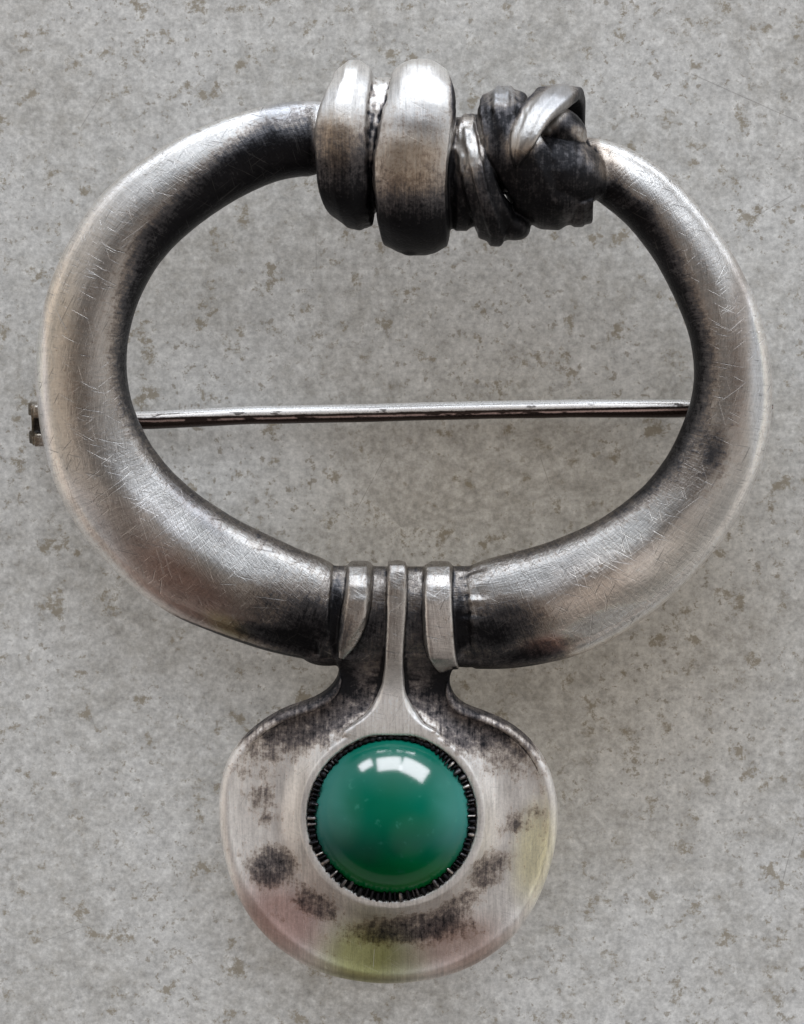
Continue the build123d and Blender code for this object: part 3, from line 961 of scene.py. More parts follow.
def scratched(bench: Bench, place: Signal, marks: Sequence[Scratch]) -> Signal:
    """Single scratches at given places.

    Args:
        bench: Maker of the nodes.
        place: Place in millimetres.
        marks: The scratches.

    Returns:
        1 in a scratch and 0 beside it.
    """
    wobble = (bench.noise(place, 0.9, 2.0, 0.5) - 0.5) * 0.042
    broken = bench.noise(place, 3.5, 2.0, 0.5).over(0.30, 0.45)
    parts: list[Signal] = []
    for mark in marks:
        turn = math.radians(mark.turn)
        sockets: dict[str | int, Plug] = {
            "Vector": place, "Location": (mark.across, mark.up, 0.0), "Rotation": (0.0, 0.0, turn),
        }
        local = bench.add("ShaderNodeMapping", {"vector_type": "TEXTURE"}, sockets)
        along, aside, _ = bench.split(local)
        line = 1.0 - (aside + wobble).math("ABSOLUTE").over(0.0, mark.width)
        reach = 1.0 - along.math("ABSOLUTE").over(mark.length * 0.35, mark.length * 0.5)
        parts.append(line * reach)
    return strongest(parts) * broken


SCRATCHES = rows(
    Scratch, (-15.2, -13.5, 82, 1.1, 0.06), (-15.6, -12.7, 75, 0.7, 0.05), (-10.7, -12.6, 52, 0.8, 0.05),
    (-8.3, -14.1, -8, 2.3), (-8.6, -14.7, -3, 1.8), (-10.9, -13.2, -2, 1.2), (-6.6, -12.6, 64, 1.0),
    (-19.4, -6.5, 35, 1.6), (-20.9, -4.6, 48, 1.2), (-21.2, 3.2, -60, 1.5), (12.6, -14.6, 84, 0.9, 0.05),
    (11.7, -16.2, 88, 2.4), (14.6, -13.2, 20, 1.7), (20.6, -1.5, 70, 1.4), (19.6, 6.1, 62, 1.6),
    (-6.3, -25.1, 40, 1.1), (5.9, -35.3, 68, 1.5), (-1.9, -37.2, 86, 1.3),
)

FLOOR_SCRATCHES = rows(
    Scratch, (-19.8, 26.6, 58, 3.0, 0.05), (-5.4, 17.4, 90, 3.2, 0.04), (5.9, -5.0, 88, 4.4, 0.05),
    (-1.9, 2.8, 62, 5.0, 0.04), (9.3, 3.4, -72, 2.6, 0.04), (7.0, -8.3, 14, 7.5, 0.05),
    (2.4, -9.6, 78, 3.4, 0.05), (22.6, 27.2, -24, 11.0, 0.05), (23.8, 20.5, 30, 3.2, 0.05),
    (24.8, -21.2, 76, 3.6, 0.05), (-21.5, -26.0, 20, 3.2, 0.04),
)


# How far across the arms their tarnish reaches, at each angle round the hoop; near the knot, where the
# arms' inner halves face away from the window, this darkening is partly painted shade.
ARM_EDGE = (
    (0, 0.22), (15, 0.26), (30, 0.38), (39, 0.58), (45, 0.70), (52, 0.78), (60, 0.80), (110, 0.88),
    (122, 0.72), (134, 0.53), (144, 0.42), (156, 0.28), (170, 0.14), (185, 0.09), (205, 0.03),
    (240, 0.0), (300, 0.0), (330, 0.07), (345, 0.15), (360, 0.22),
)

# Depth of the waist's bare rod, at each place down from the middle of the hoop.
WAIST_ROD = (
    (12.0, 0.1), (12.5, 0.55), (13.0, 1.1), (14.0, 1.6), (15.0, 1.78), (17.0, 1.53), (18.0, 1.08),
    (19.0, 0.68), (20.0, 0.55),
)

# Tarnish down the first and the second turn of the knot, at each height, darker towards the bottom:
# partly patina and partly painted shade on the turns' lower faces.
FIRST_TURN = ((10.6, 1.10), (11.8, 0.92), (13.2, 0.68), (14.8, 0.38), (16.4, 0.0))
SECOND_TURN = (
    (9.2, 1.10), (10.4, 0.80), (11.4, 0.45), (13.2, 0.26), (15.4, 0.24), (16.6, 0.10), (17.6, 0.0),
)

# Dark stains, with an amount below zero where the silver is made lighter: rubbed clean, and painted
# highlight where faces of the knot and of the lower right arm catch the light.
STAINS = {
    "neck": rows(
        Spot, (-4.2, -20.6, 2.6, 2.6, -30, 0.25), (3.4, -20.6, 2.6, 2.6, 30, 0.30),
        (-4.5, -19.5, 1.2, 2.6, -50, 0.30), (3.3, -19.5, 1.2, 2.6, 50, 0.30),
    ),
    "waist": rows(
        Spot, (-6.6, -15.3, 6.2, 3.4, -14, 0.55), (-5.6, -16.0, 3.0, 2.2, -12, 0.4),
    ),
    "arms": rows(
        Spot, (-8.3, -16.7, 4.4, 1.1, -15, 0.6), (-13.3, -11.9, 4.6, 1.6, -42, 0.20),
        (6.2, -15.8, 4.4, 2.8, 8, 0.72), (5.0, -16.6, 2.6, 1.6, 8, 0.35), (17.9, -6.4, 3.0, 1.4, 62, 0.25),
        (9.2, -17.4, 4.2, 0.9, 12, 0.6), (19.2, -4.7, 1.2, 2.4, 8, 0.40), (-24.0, -3.9, 1.8, 2.8, 0, 0.55),
        (12.9, 12.2, 2.0, 1.0, -40, 0.25), (12.3, 13.3, 1.6, 0.9, -42, 0.38),
        (3.7, -15.0, 0.7, 3.6, 0, 0.35), (-4.25, -15.0, 0.6, 3.4, 0, 0.30),
    ),
    "dish": rows(
        Spot, (-8.3, -31.4, 2.4, 2.1, 10, 0.66), (-8.6, -28.3, 1.3, 1.1, 0, 0.28),
        (-9.2, -26.9, 1.5, 0.9, 10, 0.40), (-5.5, -33.8, 2.6, 1.5, -35, 0.56),
        (0.5, -35.4, 6.2, 1.6, 2, 0.64), (3.3, -33.9, 2.4, 1.2, 25, 0.45), (5.3, -31.6, 2.6, 1.6, 45, 0.54),
        (7.8, -28.2, 1.9, 1.2, 20, 0.34), (-8.8, -27.0, 1.7, 2.6, 0, 0.10),
        (3.5, -22.6, 2.4, 1.7, -40, 0.42), (-4.8, -22.4, 2.2, 1.5, 40, 0.32),
        (6.5, -28.9, 1.8, 0.9, 10, 0.30), (-3.3, -21.4, 1.6, 0.8, 45, 0.42),
        (2.0, -21.5, 1.6, 0.8, -45, 0.38), (-6.1, -20.9, 3.2, 0.7, 27, 0.45),
        (5.5, -21.1, 3.2, 0.7, -27, 0.45), (5.6, -22.4, 6.6, 4.0, -38, 0.46),
        (-7.4, -22.4, 6.0, 3.8, 38, 0.38), (6.4, -34.0, 2.2, 1.5, 30, -0.38),
    ),
    # Partly rubbed wear and partly painted highlight where the knot and the lower right arm catch the light.
    "rubbed": rows(
        Spot, (8.4, 15.7, 4.2, 1.6, 48, -1.5), (6.0, 17.2, 1.8, 1.7, 0, -0.85),
        (3.9, 14.0, 1.8, 3.2, 0, -0.85), (11.8, 13.1, 2.2, 1.2, -38, -0.42),
        (11.1, 14.5, 1.8, 0.7, -32, -0.70), (12.4, -16.8, 3.6, 1.2, 28, -0.30),
        (14.9, -11.7, 2.4, 1.2, 46, -0.25), (10.7, 9.7, 1.6, 1.3, 0, -0.25),
        (-0.6, -18.8, 4.6, 3.4, 0, -0.18), (4.8, 10.6, 1.2, 2.2, 20, -0.15),
    ),
}

# Colours that the silver is multiplied by, each with the spot it lies in: faint colours of the tarnish,
# and gains above 1, which paint highlights and reflections onto the faces and outer edges of the arms.
TINTS_AND_PAINTED_LIGHT = (
    ((-13.6, -13.8, 6.8, 2.4, -38, 0.9), (1.0, 0.76, 0.69)),
    ((-11.0, -16.0, 2.4, 1.0, -30, 0.8), (0.78, 0.80, 0.52)),
    ((-21.4, 0.7, 2.2, 11.0, 3, 0.7), (1.0, 0.92, 0.82)),
    ((10.9, -13.8, 5.6, 3.0, 30, 0.6), (1.0, 0.92, 0.88)),
    ((8.9, -17.2, 2.4, 1.0, 10, 0.8), (1.0, 0.66, 0.60)),
    ((-7.6, -34.6, 4.8, 3.2, -35, 1.0), (0.55, 0.395, 0.365)),
    ((3.4, -36.4, 4.8, 2.7, 12, 1.0), (0.58, 0.46, 0.42)),
    ((-2.5, -37.0, 4.5, 3.7, 0, 1.0), (0.41, 0.41, 0.20)),
    ((-0.4, -37.4, 3.2, 2.4, 0, 1.0), (0.66, 0.66, 0.56)),
    ((8.2, -30.4, 1.9, 4.6, -8, 1.0), (0.98, 0.96, 0.72)),
    ((-24.2, -3.9, 2.4, 3.6, 0, 1.0), (0.27, 0.23, 0.16)),
    ((13.6, -13.4, 8.5, 3.6, 35, 1.0), (1.50, 1.47, 1.42)),
    ((12.0, -16.4, 5.0, 1.9, 22, 1.0), (1.75, 1.72, 1.70)),
    ((-15.0, -9.6, 3.8, 1.7, -45, 0.9), (1.50, 1.50, 1.53)),
    ((-13.1, -8.4, 4.4, 0.8, -45, 0.9), (0.70, 0.70, 0.74)),
    ((-19.3, -9.3, 5.0, 1.2, -58, 0.8), (1.38, 1.40, 1.48)),
    ((-7.3, 16.0, 3.2, 1.6, 14, 0.9), (0.36, 0.375, 0.41)),
    ((6.0, 17.0, 1.9, 1.5, 0, 0.9), (0.58, 0.60, 0.64)),
    ((9.3, 16.9, 2.4, 1.5, 20, 0.9), (0.63, 0.64, 0.67)),
    ((1.0, 15.4, 2.8, 1.3, 0, 0.9), (0.74, 0.74, 0.75)),
    ((22.0, 1.5, 0.9, 12.0, 0, 0.9), (1.18, 1.26, 1.38)),
    ((14.9, -11.7, 2.8, 1.5, 46, 0.9), (1.16, 1.17, 1.20)),
    ((20.8, 1.0, 1.0, 10.0, 0, 0.9), (0.76, 0.71, 0.69)),
    ((-22.6, 0.8, 0.6, 10.0, 3, 0.9), (1.02, 1.10, 1.26)),
    ((12.3, 13.2, 2.4, 1.3, -40, 0.9), (0.66, 0.60, 0.54)),
    ((2.1, -15.0, 1.3, 3.6, 0, 0.9), (1.72, 1.72, 1.74)),
    ((-0.7, -21.6, 2.2, 2.2, 0, 1.0), (1.22, 1.22, 1.24)),
    ((-6.2, -27.0, 0.8, 3.0, 0, 0.9), (0.82, 0.81, 0.80)),
    ((15.4, 7.2, 1.2, 3.6, 62, 0.9), (1.30, 1.31, 1.33)),
    ((-3.2, -15.0, 1.3, 3.4, 0, 0.9), (1.22, 1.22, 1.22)),
    ((0.4, 12.9, 2.6, 3.0, 0, 0.9), (1.0, 0.88, 0.74)), ((-4.0, 14.0, 1.6, 2.8, 0, 0.9), (1.0, 0.88, 0.74)),
    ((7.4, 13.4, 1.3, 1.4, 45, 0.9), (0.62, 0.56, 0.50)),
)


@dataclass(frozen=True)
class Casting:
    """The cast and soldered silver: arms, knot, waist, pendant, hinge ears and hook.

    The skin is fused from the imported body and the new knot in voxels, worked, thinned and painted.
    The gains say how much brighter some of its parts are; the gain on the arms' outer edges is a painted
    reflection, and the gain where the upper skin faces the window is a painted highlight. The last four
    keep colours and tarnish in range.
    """

    node: bpy.types.Object
    lie: Lie
    knot: Knot
    voxel: float = 0.1
    quick_voxel: float = 0.17
    triangles: int = 190000
    quick_triangles: int = 90000
    eased_rounds: int = 36
    quick_eased_rounds: int = 12
    near_rounds: int = 8
    wide_rounds: int = 70
    pendant_gain: float = 0.70
    edge_reflection_gain: float = 0.75
    coil_gain: float = 0.22
    window_highlight_gain: float = 0.55
    brightest: float = 1.85
    cleanest: float = -0.3
    blackest: float = 1.3
    dish_easing: float = 0.62

    def build(self, material: bpy.types.Material) -> bpy.types.Object:
        """Builds the casting.

        Args:
            material: The silver.

        Returns:
            The piece.
        """
        rough = self._assembled()
        fused = self._fused(rough)
        places, normals = self._arrays(fused)
        places = self._eased(fused, places)
        fused.vertices.foreach_set("co", self._shaped(places, normals).astype(np.float32).ravel())
        fused.update()
        light = self._lightened(fused)
        self._paint(light)
        piece = dressed(light, "silver_casting", self.lie, material, Body.BROOCH)
        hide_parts("brooch_body")
        return piece

    def _assembled(self) -> bpy.types.Mesh:
        """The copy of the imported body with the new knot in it.

        Returns:
            Closed shells that run into each other.
        """
        bm = packed_copy(self.node, self.lie)
        self.knot.opened(bm)
        parts = [turn.mesh() for turn in TURNS.values()] + [self.knot.core()] + self.knot.lumps()
        parts += [bar.mesh() for bar in WAIST_BARS]
        for part in parts:
            loose = as_mesh(part, "part")
            bm.from_mesh(loose)
            bpy.data.meshes.remove(loose)
        return as_mesh(bm, "assembled")

    def _through(self, mesh: bpy.types.Mesh, *modifiers: tuple[str, dict[str, Any]]) -> bpy.types.Mesh:
        """Runs a mesh through modifiers.

        Args:
            mesh: The mesh, which is removed.
            modifiers: Each modifier's type and settings.

        Returns:
            The new mesh.
        """
        carrier = bpy.data.objects.new("carrier", mesh)
        bpy.context.scene.collection.objects.link(carrier)
        for kind, settings in modifiers:
            modifier = carrier.modifiers.new(kind.lower(), kind)
            for name, value in settings.items():
                setattr(modifier, name, value)
        graph = bpy.context.evaluated_depsgraph_get()
        made = bpy.data.meshes.new_from_object(carrier.evaluated_get(graph))
        bpy.data.objects.remove(carrier)
        bpy.data.meshes.remove(mesh)
        return made

    def _fused(self, mesh: bpy.types.Mesh) -> bpy.types.Mesh:
        """Fuses the shells into one even skin.

        Args:
            mesh: The assembled shells.

        Returns:
            The fused skin, with its corners a little softened.
        """
        voxel = self.voxel
        remesh = ("REMESH", {"mode": "VOXEL", "voxel_size": voxel, "adaptivity": 0.0})
        return self._through(mesh, remesh, ("SMOOTH", {"factor": 0.5, "iterations": 3}))

    def _eased(self, mesh: bpy.types.Mesh, places: np.ndarray) -> np.ndarray:
        """Lets the collar run softly down into the dish.

        Args:
            mesh: The fused skin.
            places: Its vertices.

        Returns:
            The vertices with the foot of the collar smoothed.
        """
        _, y, z = places.T
        reach = self._from_stone(places)
        share = within(reach, 6.0, 6.9, 9.2, 10.4) * step(z, 0.0, 0.4) * step(-y, 21.5, 23.5)
        rounds = self.eased_rounds
        return places + (self._smoothed(mesh, places, rounds) - places) * share[:, None]

    def _arrays(self, mesh: bpy.types.Mesh) -> tuple[np.ndarray, np.ndarray]:
        """The vertices of a mesh and their normals, one row each."""
        places = np.zeros(len(mesh.vertices) * 3, np.float32)
        normals = np.zeros(len(mesh.vertices) * 3, np.float32)
        mesh.vertices.foreach_get("co", places)
        mesh.vertex_normals.foreach_get("vector", normals)
        return places.reshape(-1, 3), normals.reshape(-1, 3)

    def _facing(self, normals: np.ndarray) -> np.ndarray:
        """1 where the surface doesn't face backwards, so that the photo's stains stay off the back."""
        return step(normals[:, 2], -0.50, -0.05)

    def _from_stone(self, places: np.ndarray) -> np.ndarray:
        """How far each place is from the middle of the stone, seen from the front."""
        return np.hypot(places[:, 0] - STONE_MIDDLE[0], places[:, 1] - STONE_MIDDLE[1])

    def _knot_share(self, places: np.ndarray) -> np.ndarray:
        """1 in the knot and 0 on the rest of the brooch."""
        x, y = places[:, 0], places[:, 1]
        return within(x, -5.9, -5.4, 11.6, 12.4) * step(y, 5.5, 7.0)

    def _shaped(self, places: np.ndarray, normals: np.ndarray) -> np.ndarray:
        """Works the casting's dents, tool marks and rough spots into the skin.

        Args:
            places: The skin's vertices.
            normals: Their normals.

        Returns:
            The worked vertices.
        """
        places = places + np.array([0.0, 0.0, 1.0]) * self._faced(places, normals)[:, None]
        x, y, z = places.T
        knot = self._knot_share(places)
        pendant = step(-y, 18.5, 20.5)
        height = 0.05 * waves(places, 4.5, 3) + 0.018 * waves(places, 1.6, 4)
        height *= 1 - 0.5 * pendant
        height += knot * (0.07 * waves(places, 2.4, 5) + 0.025 * waves(places, 1.0, 6))
        rugged = knot * np.maximum.reduce([
            within(x, 2.6, 3.6, 4.6, 5.4) * step(y, 10.5, 13.0),
            within(x, -2.7, -2.3, -1.0, -0.6) * step(4.9 - np.hypot(y - 13.5, z * 1.3), 0.0, 0.4),
            0.9 * within(x, 4.6, 5.2, 7.0, 8.0) * step(y, 14.5, 16.0),
            0.6 * step(x, 8.3, 9.3) * within(y, 11.5, 13.0, 14.5, 15.5),
        ])
        height += rugged * (0.045 * waves(places, 0.35, 7, (0.6, 3.0, 3.0)) + 0.03 * waves(places, 0.3, 8))
        waist = Spot(-0.6, -13.6, 4.6, 2.2, 0.0, 1.0).cover(places) * step(z, 0.0, 1.0)
        height += waist * 0.03 * waves(places, 0.5, 10)
        beside = Spot(4.2, -14.0, 1.6, 3.6, 0.0, 1.0).cover(places) * step(z, 0.0, 1.0)
        height += beside * 0.05 * waves(places, 0.35, 9, (3.0, 1.0, 1.0))
        under = step(z, -1.6, -0.8)
        return places + normals * (height * (0.35 + 0.65 * under))[:, None]

    def _faced(self, places: np.ndarray, normals: np.ndarray) -> np.ndarray:
        """Moves the arms' crest towards the inside of the hoop and makes the dish shallower.

        Args:
            places: The skin's vertices.
            normals: Their normals.

        Returns:
            How far each vertex moves to the front.
        """
        angle, share = self._across(places)
        y = places[:, 1]
        left, right = within(angle, 192, 206, 226, 250), within(angle, 288, 302, 332, 350)
        side = np.where(share < 0.45, 0.17, 0.26)
        face = 0.32 * (left + 0.8 * right) * bell(share, 0.45, side)
        ridge = 0.05 * within(-y, -2.0, 6.0, 18.0, 19.0) * bell(share, 0.14, 0.07)
        reach = np.hypot(places[:, 0] + 1.0, y + 28.4) / 10.65
        dish = 0.30 * bell(reach, 0.80, 0.12) * step(-y, 21.0, 25.0)
        return (face + ridge + dish) * step(normals[:, 2], 0.05, 0.45)

    def _across(self, places: np.ndarray) -> tuple[np.ndarray, np.ndarray]:
        """Where a place is on the hoop.

        Args:
            places: One row for each place.

        Returns:
            Angle round the hoop in degrees, from +X towards +Y, and the share of the arm's width,
            from 0 at its inner edge to 1 at its outer edge.
        """
        x, y, z = places.T
        radius = np.hypot(x, y)
        angle = (np.degrees(np.arctan2(y, x)) + 360) % 360
        sector = (angle / 3).astype(int)
        arm = (z > 0.3) & (radius > 9) & (radius < 23.3)
        inner, outer = np.full(121, 99.0), np.zeros(121)
        np.minimum.at(inner, sector[arm], radius[arm])
        np.maximum.at(outer, sector[arm], radius[arm])
        inner[120], outer[120] = inner[0], outer[0]
        middles = np.arange(121) * 3 + 1.5
        low = np.interp(angle, middles, inner)
        high = np.interp(angle, middles, outer)
        return angle, (radius - low) / np.maximum(high - low, 0.1)

    def _lightened(self, mesh: bpy.types.Mesh) -> bpy.types.Mesh:
        """Thins the skin where it is smooth.

        Args:
            mesh: The worked skin.

        Returns:
            The light mesh.
        """
        wanted = self.triangles
        ratio = min(1.0, wanted / (2 * len(mesh.polygons)))
        light = self._through(mesh, ("DECIMATE", {"decimate_type": "COLLAPSE", "ratio": ratio}))
        for polygon in light.polygons:
            polygon.use_smooth = True
        return light

    def _smoothed(self, mesh: bpy.types.Mesh, places: np.ndarray, rounds: int) -> np.ndarray:
        """Places after a number of rounds of averaging with their neighbours.

        Args:
            mesh: The mesh that says who the neighbours are.
            places: Where the rounds start.
            rounds: Number of rounds.

        Returns:
            The averaged places.
        """
        pairs = np.zeros(len(mesh.edges) * 2, np.int32)
        mesh.edges.foreach_get("vertices", pairs)
        first, second = pairs.reshape(-1, 2).T
        count = len(places)
        total = np.bincount(first, minlength=count) + np.bincount(second, minlength=count)
        moved = places.astype(np.float64)
        for _ in range(rounds):
            summed = [
                np.bincount(first, column[second], count) + np.bincount(second, column[first], count)
                for column in moved.T
            ]
            moved = 0.5 * moved + 0.5 * np.stack(summed, axis=1) / np.maximum(total, 1)[:, None]
        return moved

    def _paint(self, mesh: bpy.types.Mesh) -> None:
        """Stores the tarnish with its painted shade, the tints with their painted highlights and reflections,
        and the run of the wire on the mesh.

        Args:
            mesh: The light mesh, in the brooch's own frame.
        """
        places, normals = self._arrays(mesh)
        dark = self._tarnish_and_shade(mesh, places, normals)
        y = places[:, 1]
        pendant = step(-y, 18.5, 21.0)
        knot = self._knot_share(places)
        angle, across = self._across(places)
        # Painted reflection: the outer edges of the side arms are made lighter, standing in for the pale
        # floor they reflect.
        edge = step(across, 0.80, 0.95) * step(np.abs(angle - 270), 38, 50) * (1 - knot)
        coils = knot * step(-places[:, 0], -3.2, -2.6)
        gain = 1 + self.pendant_gain * pendant + self.edge_reflection_gain * edge + self.coil_gain * coils
        # Painted highlight: on the upper part of the brooch the colour is lighter where the skin faces up
        # towards the window.
        window_highlight = step(normals[:, 1], 0.50, 0.85) * step(y, 3.0, 8.0)
        colours = np.ones((len(places), 3)) * (gain * (1 + self.window_highlight_gain * window_highlight))[:, None]
        front = self._facing(normals)
        for place, colour in TINTS_AND_PAINTED_LIGHT:
            share = (front * np.clip(Spot(*place).cover(places), 0, 1))[:, None]
            colours *= 1 - share * (1 - np.array(colour))
        wound = np.maximum(knot, step(-y, 18.0, 20.0))
        matt = np.maximum(0.35 * knot, step(-y, 17.5, 20.0))
        marked(mesh, dark, matt, wound, np.clip(colours, 0, self.brightest))

    def _tarnish_and_shade(self, mesh: bpy.types.Mesh, places: np.ndarray, normals: np.ndarray) -> np.ndarray:
        """How dark each vertex is with tarnish, with painted shade added and painted highlights taken off.

        Args:
            mesh: The light mesh.
            places: Its vertices.
            normals: Their normals.

        Returns:
            0 where the silver is clean and 1 where it is black.
        """
        x, y, z = places.T
        knot = self._knot_share(places)
        front = self._facing(normals)
        near = np.einsum("ij,ij->i", self._smoothed(mesh, places, self.near_rounds) - places, normals)
        wide = np.einsum("ij,ij->i", self._smoothed(mesh, places, self.wide_rounds) - places, normals)
        pendant = step(-y, 19.5, 21.5)
        hollow = step(near, 0.006, 0.05) * 0.55 + step(wide, 0.04, 0.30) * 0.7 * (1 - pendant)
        ridge = step(-wide, 0.03, 0.30) * 0.35 + step(-near, 0.004, 0.04) * 0.25
        radius = np.hypot(x, y)
        inward = -(normals[:, 0] * x + normals[:, 1] * y) / np.maximum(radius, 1.0)
        upper = step(y, 0.0, 11.0)
        # Partly patina and partly painted shade: the inner walls of the hoop are darkened, more widely and
        # more strongly in the upper half, where they face away from the window.
        wall = step(inward - 0.45 + 0.6 * upper, 0.0, 0.45) * (1 - knot) * step(y, -19.0, -17.5)
        back = step(-z, 0.6, 2.2) * 0.5
        smooth = 1 - 0.8 * Spot(4.1, 13.9, 2.0, 3.2, 0, 1.0).cover(places)
        hollow, ridge = hollow * smooth, ridge * smooth
        dark = np.maximum.reduce([hollow, (0.50 + 0.5 * upper) * wall, back]) - ridge
        # Painted shade: the outer walls of the lower arms, which face down away from the window, are
        # darkened.
        below = within(x, -16.0, -12.5, 7.5, 10.5) * within(-y, 9.0, 13.0, 18.5, 19.5)
        below *= step(-inward, 0.72, 0.90)
        below = 1.1 * below * (1 - pendant)
        arms = self._arm_tarnish_and_shade(places) * (1 - knot)
        dark = np.maximum.reduce([dark, below, arms, self._waist_tarnish(places)])
        dark = dark + knot * self._knot_tarnish_and_shade(places)
        dark = dark * front + (1 - front) * np.minimum(dark, 0.42)
        for spot in chain(*STAINS.values()):
            dark = dark + front * spot.cover(places)
        dish = step(-y, 19.5, 21.0) * (1 - step(-self._from_stone(places), -6.0, -5.6))
        return np.clip(dark, self.cleanest, self.blackest - self.dish_easing * dish)

    def _arm_tarnish_and_shade(self, places: np.ndarray) -> np.ndarray:
        """Tarnish of the arms' inner half, partly patina and partly painted shade, broad near the knot and
        narrow further down.

        Args:
            places: The vertices.

        Returns:
            The tarnish.
        """
        angle, share = self._across(places)
        edge = np.interp(angle, *np.array(ARM_EDGE).T)
        dark = 1.1 * step(edge - share + 0.22, 0.0, 0.46) * step(edge, 0.0, 0.08)
        upper = step(np.abs(angle - 265), 62, 80)
        haze = 0.20 * upper * bell(share, 0.48, 0.18)
        wall = 0.24 * step(-share, -0.20, -0.08) * (1 - upper)
        return np.maximum.reduce([dark, haze, wall])

    def _waist_tarnish(self, places: np.ndarray) -> np.ndarray:
        """Tarnish of the waist, on all but the tops of its bars.

        Args:
            places: The vertices.

        Returns:
            The tarnish.
        """
        x, y, z = places.T
        core = np.interp(-y, *np.array(WAIST_ROD).T)
        proud = step(z - core, 0.18, 0.5)
        inside = within(x, -4.7, -4.2, 3.4, 3.9) * within(-y, 11.5, 13.5, 20.2, 22.4)
        neck = within(-y, 17.2, 18.4, 22.2, 24.2)
        return np.maximum(inside * (0.40 + 0.35 * step(-y, 13.5, 16.0)), 0.66 * neck) * (1 - proud)

    def _knot_tarnish_and_shade(self, places: np.ndarray) -> np.ndarray:
        """Tarnish of the knot, partly patina and partly painted shade: black below and between the turns,
        rubbed bright on their tops.

        Args:
            places: The vertices.

        Returns:
            The tarnish to add.
        """
        x, y, _ = places.T
        first = step(-x, 1.7, 2.3)
        second = step(-x, -3.1, -2.6) * (1 - first)
        left = np.interp(y, *np.array(FIRST_TURN).T)
        right = np.interp(y, *np.array(SECOND_TURN).T)
        return first * left + second * right + (1 - first - second) * 0.98


@dataclass(frozen=True)
class Stone:
    """Polished green chalcedony with cloudy depth, painted a brighter green towards the bottom, where light
    comes out through it, and painted shade towards the top, which the window lights most.
    """

    lie: Lie
    reach: float = 4.9
    plain: Colour = (0.001, 0.056, 0.037)
    core: Colour = (0.000, 0.041, 0.021)
    sides: Colour = (0.020, 0.096, 0.082)
    # Painted light: the bright green where light comes out through the lower part of the stone.
    low: Colour = (0.000, 0.150, 0.030)
    fleck: Colour = (0.02, 0.11, 0.08)

    def material(self) -> bpy.types.Material:
        """Builds the finish.

        Returns:
            The material.
        """
        material, bench = Bench.of_material("green_stone")
        place = self.lie.own_place(bench)
        across, up, _ = bench.split(place)
        x = (across - STONE_MIDDLE[0]) / self.reach
        y = (up - STONE_MIDDLE[1]) / self.reach
        cloud = bench.noise(place, 0.35, 2.0, 0.5) - 0.5
        fleck = bench.noise(place, 1.6, 3.0, 0.6).over(0.60, 0.72)
        core = 1.0 - ((x * x + y * y).math("SQRT") + cloud * 0.5).over(0.15, 0.85)
        # Painted light: brighter green towards the bottom.
        low = (0.0 - y + cloud * 0.5).over(0.25, 0.90)
        sides = (x.math("ABSOLUTE") + cloud * 0.5).over(0.45, 0.95)
        base = bench.layered(
            self.plain, (core, self.core), (sides * 0.8, self.sides), (low * 0.9, self.low),
            (fleck * 0.3, self.fleck),
        )
        # Painted shade: darker towards the top, where the window lights the stone most.
        shade = 1.0 - y.over(-0.1, 0.8) * 0.45
        base = bench.shaded(base, shade)
        bench.surface({
            "Base Color": base,
            "Roughness": 0.125 + fleck * 0.03,
            "IOR": 1.54,
            "Specular IOR Level": 0.22,
        })
        return material


@dataclass(frozen=True)
class Cabochon:
    """The round domed stone."""

    radius: float = 4.92
    seat: float = 0.12
    girdle: float = 1.70
    top: float = 4.45
    rings: int = 40
    segments: int = 96

    def build(self, lie: Lie, material: bpy.types.Material) -> bpy.types.Object:
        """Builds the stone.

        Args:
            lie: How the brooch lies.
            material: The stone's finish.

        Returns:
            The piece.
        """
        bm = bmesh.new()
        outline = [(self.radius * 0.985, self.seat), (self.radius, self.seat + 0.1)]
        rise = self.top - self.girdle
        curve = (self.radius**2 + rise**2) / (2 * rise)
        widest = math.asin(self.radius / curve)
        for index in range(self.rings):
            angle = widest * (1 - index / self.rings)
            outline.append((curve * math.sin(angle), self.top - curve * (1 - math.cos(angle))))
        turns = [2 * math.pi * index / self.segments for index in range(self.segments)]
        circles = [
            [bm.verts.new((reach * math.cos(turn), reach * math.sin(turn), height)) for turn in turns]
            for reach, height in outline
        ]
        skinned(bm, circles, ring=False)
        for height, circle in ((self.seat, circles[0]), (self.top, circles[-1])):
            pole = bm.verts.new((0, 0, height))
            for first, second in zip(circle, circle[1:] + circle[:1]):
                bm.faces.new((pole, first, second))
        bmesh.ops.translate(bm, verts=bm.verts, vec=(*STONE_MIDDLE, 0))
        piece = seated(bm, "green_cabochon", lie, material, Body.BROOCH)
        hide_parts("cabochon")
        return piece


